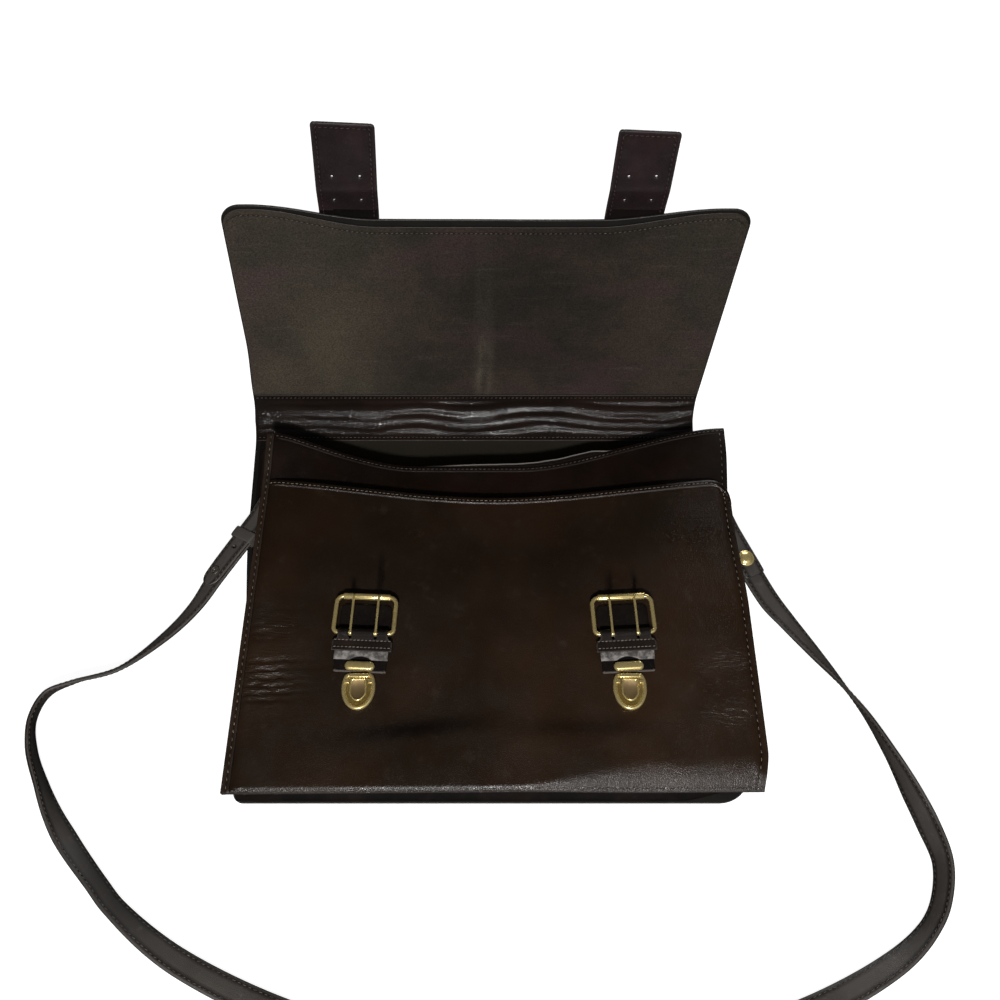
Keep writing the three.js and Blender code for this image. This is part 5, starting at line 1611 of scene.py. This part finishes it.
def makePlate(closure):    # the shell of the lock, with a bridge over the latch and a guide on each side
    rim, floor = lock["rim"], gap + lock["floor"]
    levels = [(0.25, gap), (0, gap + 0.3), (0, 1.9), (0.25, 2.6), (0.8, 3.1), (1.6, 3.3), (2.4, 3.1),
              (rim - 0.4, 2.5), (rim - 0.15, 2.0), (rim, floor)]
    plate = loft("plate", onLock(stacked(eggOutline, levels), closure), [polishedBrass, recessBrass])
    plate.data.polygons[-1].material_index = 1
    low, wide, top = floor - 0.1, bridge["width"] / 2, gap + bridge["height"]
    levels = [(0, low), (0, top - 0.6), (0.2, top - 0.2), (0.6, top)]
    pieces = [plate, block(closure, -wide, -bridge["end"], wide, -bridge["start"], bridge["corner"], levels)]
    top = gap + lug["height"]
    levels = [(0, low), (0, top - 0.4), (0.15, top - 0.1), (0.4, top)]
    for left, right in ((-lug["to"], -lug["from"]), (lug["from"], lug["to"])):
        pieces.append(block(closure, left, -lug["end"], right, -lug["start"], lug["corner"], levels))
    seat(fuse("lockPlate." + closure["name"], pieces), "brass", "lock_plate_" + closure["name"])


def makeLatch(closure):
    floor, rim = 2 * gap + lock["floor"], latch["rim"]
    top = floor + latch["height"]
    levels = [(0.2, floor), (0, floor + 0.2), (0, top - 0.8), (0.2, top - 0.3), (0.6, top), (1.1, top),
              (rim - 0.25, top - 0.3), (rim, top - latch["hollow"])]
    rings = onLock(stacked(latchOutline, levels), closure)
    made = loft("lockLatch." + closure["name"], rings, [polishedBrass, brushedBrass])
    made.data.polygons[-1].material_index = 1
    seat(made, "brass", "lock_latch_" + closure["name"])


def haspRing(inset):
    wide, long = hasp["width"] / 2 - inset, hasp["length"] / 2 - inset
    corner = min(hasp["corner"] - 0.6 * inset, 0.97 * long)
    return roundedRect(-wide, -long, wide, long, corner, corner)


def makeHasp(closure):
    low = chapeLow
    levels = [(0.6, low), (0.1, low + 0.5), (0, low + 1.1), (0.1, low + 1.8), (0.5, low + 2.6),
              (1.2, low + 3.15), (2.2, low + hasp["height"])]
    made = loft("lockHasp." + closure["name"], onClosure(stacked(haspRing, levels), closure), [polishedBrass])
    seat(made, "brass", "lock_hasp_" + closure["name"])


for closure in closures:
    makeLockTab(closure)
    makeChape(closure)
    makeBuckle(closure)
    makeRoller(closure)
    makeTongue(closure, -1, "west")
    makeTongue(closure, 1, "east")
    makePlate(closure)
    makeLatch(closure)
    makeHasp(closure)
print("buckles and locks")


# flap straps, sewn behind the flap

flapStraps = [
    {"name": "left", "x": -105.0, "reach": 274.0},
    {"name": "right", "x": 111.0, "reach": 268.0},
]
flapStrap = {
    "start": 97.0, "width": 43.5, "thick": 2.4, "corner": 2.5, "slope": -0.05, "seamIn": 3.0, "pinch": 0.25,
    # turned is the height of the band above the flap's edge that is painted as the flap's shadow
    "turned": 7.5, "crease": 221.0, "bulge": 3.84, "holeSpacing": 20.0, "holeRadius": 1.2,
    "holeRows": (212.0, 233.0), "holeWear": 0.25, "creaseHighlight": 0.12, "rimWear": 0.3,
}
strapHoles = [(side * flapStrap["holeSpacing"] / 2, up) for up in flapStrap["holeRows"] for side in (-1, 1)]


def strapFace(strap, side):
    depth = -gap if side > 0 else -gap - flapStrap["thick"]
    low, crease, tip = dippedEdge(strap["x"], flapEdge), flapStrap["crease"], strap["reach"]

    def surface(x, up):
        lean = np.minimum((up - low) / (crease - low), (tip - up) / (tip - crease))
        bulge = flapStrap["bulge"] * ease(lean, 0, 1.35)
        pinch = flapStrap["pinch"] * bell(flapStrap["width"] / 2 - np.abs(x), flapStrap["seamIn"], 0.6)
        return backPoint(strap["x"] + x, hingeEnd + up, depth + bulge - side * pinch)

    return surface


def flapStrapMarks(x, up, inset):
    # painted highlight along the crease ridge
    worn = flapStrap["creaseHighlight"] * bell(up, flapStrap["crease"] + 2, 3)
    worn = worn + flapStrap["rimWear"] * (1 - ease(inset, 0, 1.3))
    holes = [np.hypot(x - holeX, up - holeUp) for holeX, holeUp in strapHoles]
    holes = np.max([bell(away, flapStrap["holeRadius"], 1.2) for away in holes], axis=0)
    worn = worn + flapStrap["holeWear"] * holes
    return {"seam": 0.6 * bell(inset, flapStrap["seamIn"], 0.7), "wear": np.clip(worn, 0, 1)}


def makeFlapStrap(strap):
    wide = flapStrap["width"] / 2
    x = wide * lerp(spread(51), np.linspace(-1, 1, 51), 0.3)[None, :]
    tip = strap["reach"] + flapStrap["slope"] * x - cornerDrop(wide - np.abs(x), flapStrap["corner"])
    up = lerp(flapStrap["start"], tip, column(150))
    marks = flapStrapMarks(x, up, np.minimum(wide - np.abs(x), tip - up))
    made = wall("flapStrap." + strap["name"], strapFace(strap, 1)(x, up), strapFace(strap, -1)(x, up),
                [hides["flapStrapHide"], hides["outerHide"], edgePaint, hides["gussetShadedHide"]], marks)
    above = up - dippedEdge(strap["x"], flapEdge)
    for spot in np.flatnonzero(above[1:, 1:] < flapStrap["turned"]):    # painted shadow: just above the flap's edge the strap takes the near-black gusset hide, for the shadow of the flap's edge
        made.data.polygons[int(spot)].material_index = 3
    cutters = []
    for holeX, holeUp in strapHoles:
        punchX = strap["x"] + holeX + flapStrap["holeRadius"] * np.cos(around(20))
        punchUp = hingeEnd + holeUp + flapStrap["holeRadius"] * np.sin(around(20))
        punch = [backPoint(punchX, punchUp, depth) for depth in (-8.0, 5.0)]
        cutters.append(loft("punch", punch, [edgePaint]))
    cutAway(made, cutters)
    seat(made, "hide", "flap_strap_" + strap["name"])
    run, high = wide - flapStrap["seamIn"], strap["reach"] - flapStrap["seamIn"]
    cross = np.linspace(-run, run, 40)[1:-1]
    inside, outside = dippedEdge(strap["x"], flapEdge) + 2, flapStrap["start"] + 4
    for side, low, count in ((1, inside, 60), (-1, outside, 120)):
        rise = np.linspace(low, high, count)
        lineX = np.concatenate([np.full(count, -run), cross, np.full(count, run)])
        lineUp = np.concatenate([rise, np.full(len(cross), high), rise[::-1]]) + flapStrap["slope"] * lineX
        spots, ups = onSurface(strapFace(strap, side), lineX, lineUp)
        sew("flapStrapStitches", spots, ups * side)


for strap in flapStraps:
    makeFlapStrap(strap)
print("flap straps")


# shoulder strap: one long band, turned over in both loops
# each row of its route is x, y, the height of its lowest edge, and its roll, 0 with the good side up

strapBand = {"width": 19.0, "thick": 3.0, "crown": 0.25, "seamIn": 2.7, "steps": 14}
strapRoute = [
    (-195, 260, 12.5, 8), (-235, 192, 7, 20), (-251, 162, 3, 34), (-271, 137, 1, 44), (-305, 108, 0, 60),
    (-339, 97, 0, 68), (-358, 87, 0, 75), (-365, 67, 0, 80), (-360, 42, 0, 93), (-345, 13, 0, 105),
    (-333, -7, 0, 122), (-318, -27, 0, 136), (-290, -57, 0, 130), (-274, -73, 0, 132), (-222, -109, 0, 158),
    (-110, -151, 0, 180), (40, -168, 0, 180), (190, -149, 0, 175), (284, -109, 0, 145), (314, -84, 0, 122),
    (325, -66, 0, 118), (331, -41, 0, 118), (326, -14, 0, 128), (319, 8, 0, 120), (308, 39, 0, 94),
    (295, 69, 0, 77), (283, 90, 0, 64), (266, 117, 0, 42), (243, 151, 3, 18), (231, 169, 6, 4),
    (212, 208, 11, 0), (194, 250, 13.3, 0),
]
routeSpots = np.array([row[:3] for row in strapRoute], float)
routeRolls = np.array([row[3:] for row in strapRoute], float)


def smoothRoute(rows, t):    # centripetal spline through the rows
    last = len(rows) - 1
    place = np.clip(np.asarray(t, float), 0, 1) * last
    span = np.minimum(place.astype(int), last - 1)
    w = (place - span)[:, None]
    ends = np.vstack([2 * rows[0] - rows[1], rows, 2 * rows[-1] - rows[-2]])
    p0, p1, p2, p3 = (ends[span + k] for k in range(4))
    d0, d1, d2 = (np.sum((b - a) ** 2, 1, keepdims=True) ** 0.25 for a, b in ((p0, p1), (p1, p2), (p2, p3)))
    d1 = np.where(d1 < 1e-4, 1, d1)
    d0, d2 = np.where(d0 < 1e-4, d1, d0), np.where(d2 < 1e-4, d1, d2)
    m1 = ((p1 - p0) / d0 - (p2 - p0) / (d0 + d1) + (p2 - p1) / d1) * d1
    m2 = ((p2 - p1) / d1 - (p3 - p1) / (d1 + d2) + (p3 - p2) / d2) * d1
    return p1 + m1 * w + (3 * (p2 - p1) - 2 * m1 - m2) * w ** 2 + (2 * (p1 - p2) + m1 + m2) * w ** 3


def strapCentre(t):
    spot = smoothRoute(routeSpots, t)
    roll = np.radians(smoothRoute(routeRolls, t)[:, 0])
    lift = (strapBand["width"] * np.abs(np.sin(roll)) + strapBand["thick"] * np.abs(np.cos(roll))) / 2
    spot[:, 2] = np.maximum(spot[:, 2], 0) + lift
    return spot, roll


def strapFrame(t):    # centre, along, out to the left edge, and up from the good side
    spot, roll = strapCentre(t)
    along = unit(strapCentre(np.minimum(t + 1e-3, 1))[0] - strapCentre(np.maximum(t - 1e-3, 0))[0])
    level = unit(np.cross((0, 0, 1), along))
    left = level * np.cos(roll)[:, None] + np.cross(along, level) * np.sin(roll)[:, None]
    return spot, along, left, np.cross(along, left)


denseT = np.linspace(0, 1, 2001)
denseSteps = np.linalg.norm(np.diff(smoothRoute(routeSpots, denseT), axis=0), axis=1)
denseRun = np.concatenate([[0], np.cumsum(denseSteps)])


def endFrame(side, length):    # the frame at a length from one ring, looking away from it
    length = np.atleast_1d(np.asarray(length, float))
    run = length if side < 0 else denseRun[-1] - length
    spot, along, left, up = strapFrame(np.interp(run, denseRun, denseT))
    return spot, -side * along, -side * left, up


def spotFrame(end, length):    # the same at one length
    return [rows[0] for rows in endFrame(end["side"], length)]


def placed(points, x, y, z, spot):
    points = np.asarray(points, float)
    return spot + points[..., :1] * x + points[..., 1:2] * y + points[..., 2:] * z


bandAcross = np.array([-1, -0.9, -0.72, -0.4, 0, 0.4, 0.72, 0.9, 1])
bandRise = np.array([0.35, 0.9, 0.82, 1, 1, 1, 0.82, 0.9, 0.35])
seamAcross, seamRise = 0.72, 0.82    # the sewn groove in that section
bandWear = {"edge": 0.3, "middle": 0.25, "seam": 0.75}
bandPaint = ([0] * 8 + [1]) * 2


def bandSections(spot, left, up, width):    # a softly rounded flat section at each spot
    across = np.concatenate([bandAcross, bandAcross[::-1]])
    rise = np.concatenate([bandRise, -bandRise[::-1]])
    rise = rise * strapBand["thick"] / 2 + np.sign(rise) * strapBand["crown"] * (1 - across ** 2)
    width = np.broadcast_to(np.asarray(width, float), (len(spot),))
    sections = spot[:, None] + left[:, None] * (across[None, :] * width[:, None] / 2)[..., None]
    sections = sections + up[:, None] * rise[None, :, None]
    away = np.abs(across)
    worn = bandWear["edge"] * (away > 0.85) + bandWear["middle"] * (away < 0.5)
    seam = bandWear["seam"] * (np.abs(away - seamAcross) < 0.02)
    return sections, {"wear": np.tile(worn, (len(spot), 1)), "seam": np.tile(seam, (len(spot), 1))}


stitchRise = seamRise * strapBand["thick"] / 2 + 0.12


def makeShoulderStrap():
    t = np.linspace(0, 1, (len(strapRoute) - 1) * strapBand["steps"] + 1)
    spot, along, left, up = strapFrame(t)
    sections, marks = bandSections(spot, left, up, strapBand["width"])
    marks["wear"] = marks["wear"] + 0.3 * (1 - ease(t, 0.08, 0.2))[:, None]    # paler towards the left end
    made = loft("shoulderStrap", sections, [hides["strapHide"], edgePaint], marks=marks, paintSide=bandPaint)
    seat(made, "strap_hide", "shoulder_strap")
    reach = strapBand["width"] / 2 - strapBand["seamIn"]
    for side in (-1, 1):
        for face in (-1, 1):
            sew("strapStitches", spot + left * side * reach + up * face * stitchRise, up * face)


ring = {"wire": 1.4, "depth": 8.0, "inner": 21.0, "corner": 2.5}
strapEnds = [
    {"name": "left", "side": -1, "fold": 92.0, "tip": 9.5, "narrows": 1.6, "seamEnd": 7.0, "worn": 0.3},
    {"name": "right", "side": 1, "fold": 66.0, "tip": 3.0, "narrows": 1.0, "seamEnd": 3.0, "worn": 0.0},
]
foldCloses = 24.0
foldRise = ring["wire"] + gap + strapBand["thick"] / 2


def foldGap(length):
    return lerp(2 * (ring["wire"] + gap), gap, ease(length, 0, foldCloses))


# the strap's end lies on the strap, closes over the ring's bar and meets the strap below it
def makeStrapFold(end):
    length = end["fold"] * (1 - np.linspace(0, 1, 60) ** 1.6)
    spot, along, left, up = endFrame(end["side"], length)
    lifted = spot + up * (strapBand["thick"] + foldGap(length))[:, None]
    width = strapBand["width"] - end["narrows"] * cornerDrop(end["fold"] - length, end["tip"])
    sections, marks = bandSections(lifted, left, up, width)
    spot0, along0, left0, up0 = endFrame(end["side"], 0)
    angle = np.linspace(0, math.pi, 14)[1:, None]
    out = up0 * np.cos(angle) - along0 * np.sin(angle)
    turned = spot0 + up0 * foldRise + out * foldRise
    turned[-1] -= along0[0] * gap
    bend, bendMarks = bandSections(turned, np.repeat(left0, len(out), 0), out, strapBand["width"])
    marks = {label: np.concatenate([marks[label], bendMarks[label]]) for label in marks}
    marks["wear"] = marks["wear"] + end["worn"]
    made = loft("strapFold." + end["name"], np.concatenate([sections, bend]), [hides["strapHide"], edgePaint],
                marks=marks, paintSide=bandPaint)
    if end["name"] == punched["end"]:
        punchStrap(made, end)
    seat(made, "strap_hide", "strap_fold_" + end["name"])
    sewn = (length > 6) & (length < end["fold"] - end["seamEnd"])
    reach = width[sewn, None] / 2 - strapBand["seamIn"]
    for side in (-1, 1):
        row = lifted[sewn] + left[sewn] * side * reach + up[sewn] * stitchRise
        sew("strapStitches", row, up[sewn])


punched = {"end": "left", "at": 53.0, "radius": 1.5, "low": 1.62, "high": 8.0}


def punchStrap(made, end):    # one spare hole through the folded end
    spot, along, left, up = spotFrame(end, punched["at"])
    rings = [[(punched["radius"] * math.cos(a), height, punched["radius"] * math.sin(a)) for a in around(18)]
             for height in (punched["low"], punched["high"])]
    cutAway(made, [loft("punch", placed(rings, left, up, along, spot), [edgePaint])])


def makeSideRing(end):
    spot, along, left, up = spotFrame(end, 0)
    wide = ring["inner"] / 2 + ring["wire"]
    line = roundedRect(-wide, 0, wide, ring["depth"], ring["corner"], ring["corner"], 7)
    wire = wireLoop(line, 0.0, ring["wire"], ring["wire"], 12)
    wire = placed(wire, left, -along, up, spot + up * foldRise)
    made = loft("sideRing." + end["name"], wire, [polishedBrass], loop=True)
    seat(made, "brass", "side_ring_" + end["name"])


sideTab = {"width": 18.0, "layer": 1.4, "clear": 0.8, "longest": 42.0, "turn": (60, 300)}


def makeSideTab(end):    # from the fold of the gusset, round the ring and back
    spot, along, left, up = spotFrame(end, 0)
    bar = spot + up * foldRise - along * ring["depth"]
    row = next(row for row in gussets if row["name"] == end["name"])
    edge = foldLine(row, bar[1] - sideTab["width"] / 2, 0.5) + row["side"] * sideTab["clear"]
    reach = min(abs((edge - bar[0]) / along[0]), sideTab["longest"])
    rest = sideTab["layer"] / 2
    bend = ring["wire"] + gap + rest
    angles = np.radians(np.linspace(*sideTab["turn"], 25))
    loop = np.column_stack([bend * np.cos(angles), bend * np.sin(angles)])
    flat = np.linspace(reach, 2.2 * bend, 12)
    line = np.concatenate([np.column_stack([flat, np.full(12, rest)]), loop,
                           np.column_stack([flat[::-1], np.full(12, -rest)])])
    slope = unit(np.gradient(line, axis=0))
    out = np.column_stack([slope[:, 1], -slope[:, 0]]) * rest
    across = np.linspace(-1, 1, 15)[None, :] * sideTab["width"] / 2
    sides = []
    for path in (line + out, line - out):
        grid = np.stack(np.broadcast_arrays(path[:, :1], path[:, 1:], across), -1)
        sides.append(placed(grid, -along, up, left, bar))
    made = wall("sideTab." + end["name"], *sides, leather("outerHide"))
    seat(made, "hide", "side_tab_" + end["name"])


keeper = {"at": 40.0, "length": 10.0, "wall": 1.4, "clear": 0.4, "corner": 1.2, "worn": 0.5}


def makeKeeper(end):
    spot, along, left, up = spotFrame(end, keeper["at"])
    out = keeper["clear"] + keeper["wall"] / 2
    wide, low = strapBand["width"] / 2 + out, -strapBand["thick"] / 2 - out
    high = strapBand["thick"] * 1.5 + gap + out
    line = roundedRect(-wide, low, wide, high, keeper["corner"], keeper["corner"], 5)
    rings = wireLoop(line, 0.0, keeper["wall"] / 2, keeper["length"] / 2, 20)
    flat = np.zeros(rings.shape[:2])
    made = loft("strapKeeper", placed(rings, left, up, along, spot), [hides["strapHide"]], loop=True,
                marks={"wear": flat + keeper["worn"], "seam": flat})
    seat(made, "strap_hide", "strap_keeper")


# turned caps: each row of a form is a share of the radius and of the height
stud = {"at": 79.0, "radius": 4.2, "height": 1.5, "form": [
    (0.95, 0), (1, 0.25), (0.97, 0.65), (0.86, 0.95), (0.74, 0.85), (0.66, 0.45), (0.54, 0.4), (0.48, 0.7),
    (0.38, 0.72), (0.3, 0.4), (0.24, 0.15), (0.08, 0.1),
]}
rivet = {"at": 50.0, "radius": 7.0, "height": 3.0, "form": [
    (0.96, 0), (1, 0.1), (1, 0.3), (0.93, 0.42), (0.8, 0.42), (0.74, 0.5), (0.66, 0.74), (0.42, 0.93),
    (0.1, 1),
]}


def makeCap(name, end, cap, finish, slot, node):
    spot, along, left, up = spotFrame(end, cap["at"])
    base = spot + up * (strapBand["thick"] * 1.5 + foldGap(cap["at"]) + gap)
    rings = []
    for share, height in cap["form"]:
        radius, rise = share * cap["radius"], height * cap["height"]
        rings.append([(radius * math.cos(a), rise, radius * math.sin(a)) for a in around(40)])
    made = loft(name, placed(rings, left, up, along, base), [finish])
    seat(made, slot, node)


makeShoulderStrap()
for end in strapEnds:
    makeStrapFold(end)
    makeSideRing(end)
    makeSideTab(end)
makeKeeper(strapEnds[0])
makeCap("strapStud", strapEnds[0], stud, darkMetal, "dark_metal", "strap_stud")
makeCap("strapRivet", strapEnds[1], rivet, polishedBrass, "brass", "strap_rivet")
print("shoulder strap, length", round(denseRun[-1]), "mm between its rings")

makeStitches()
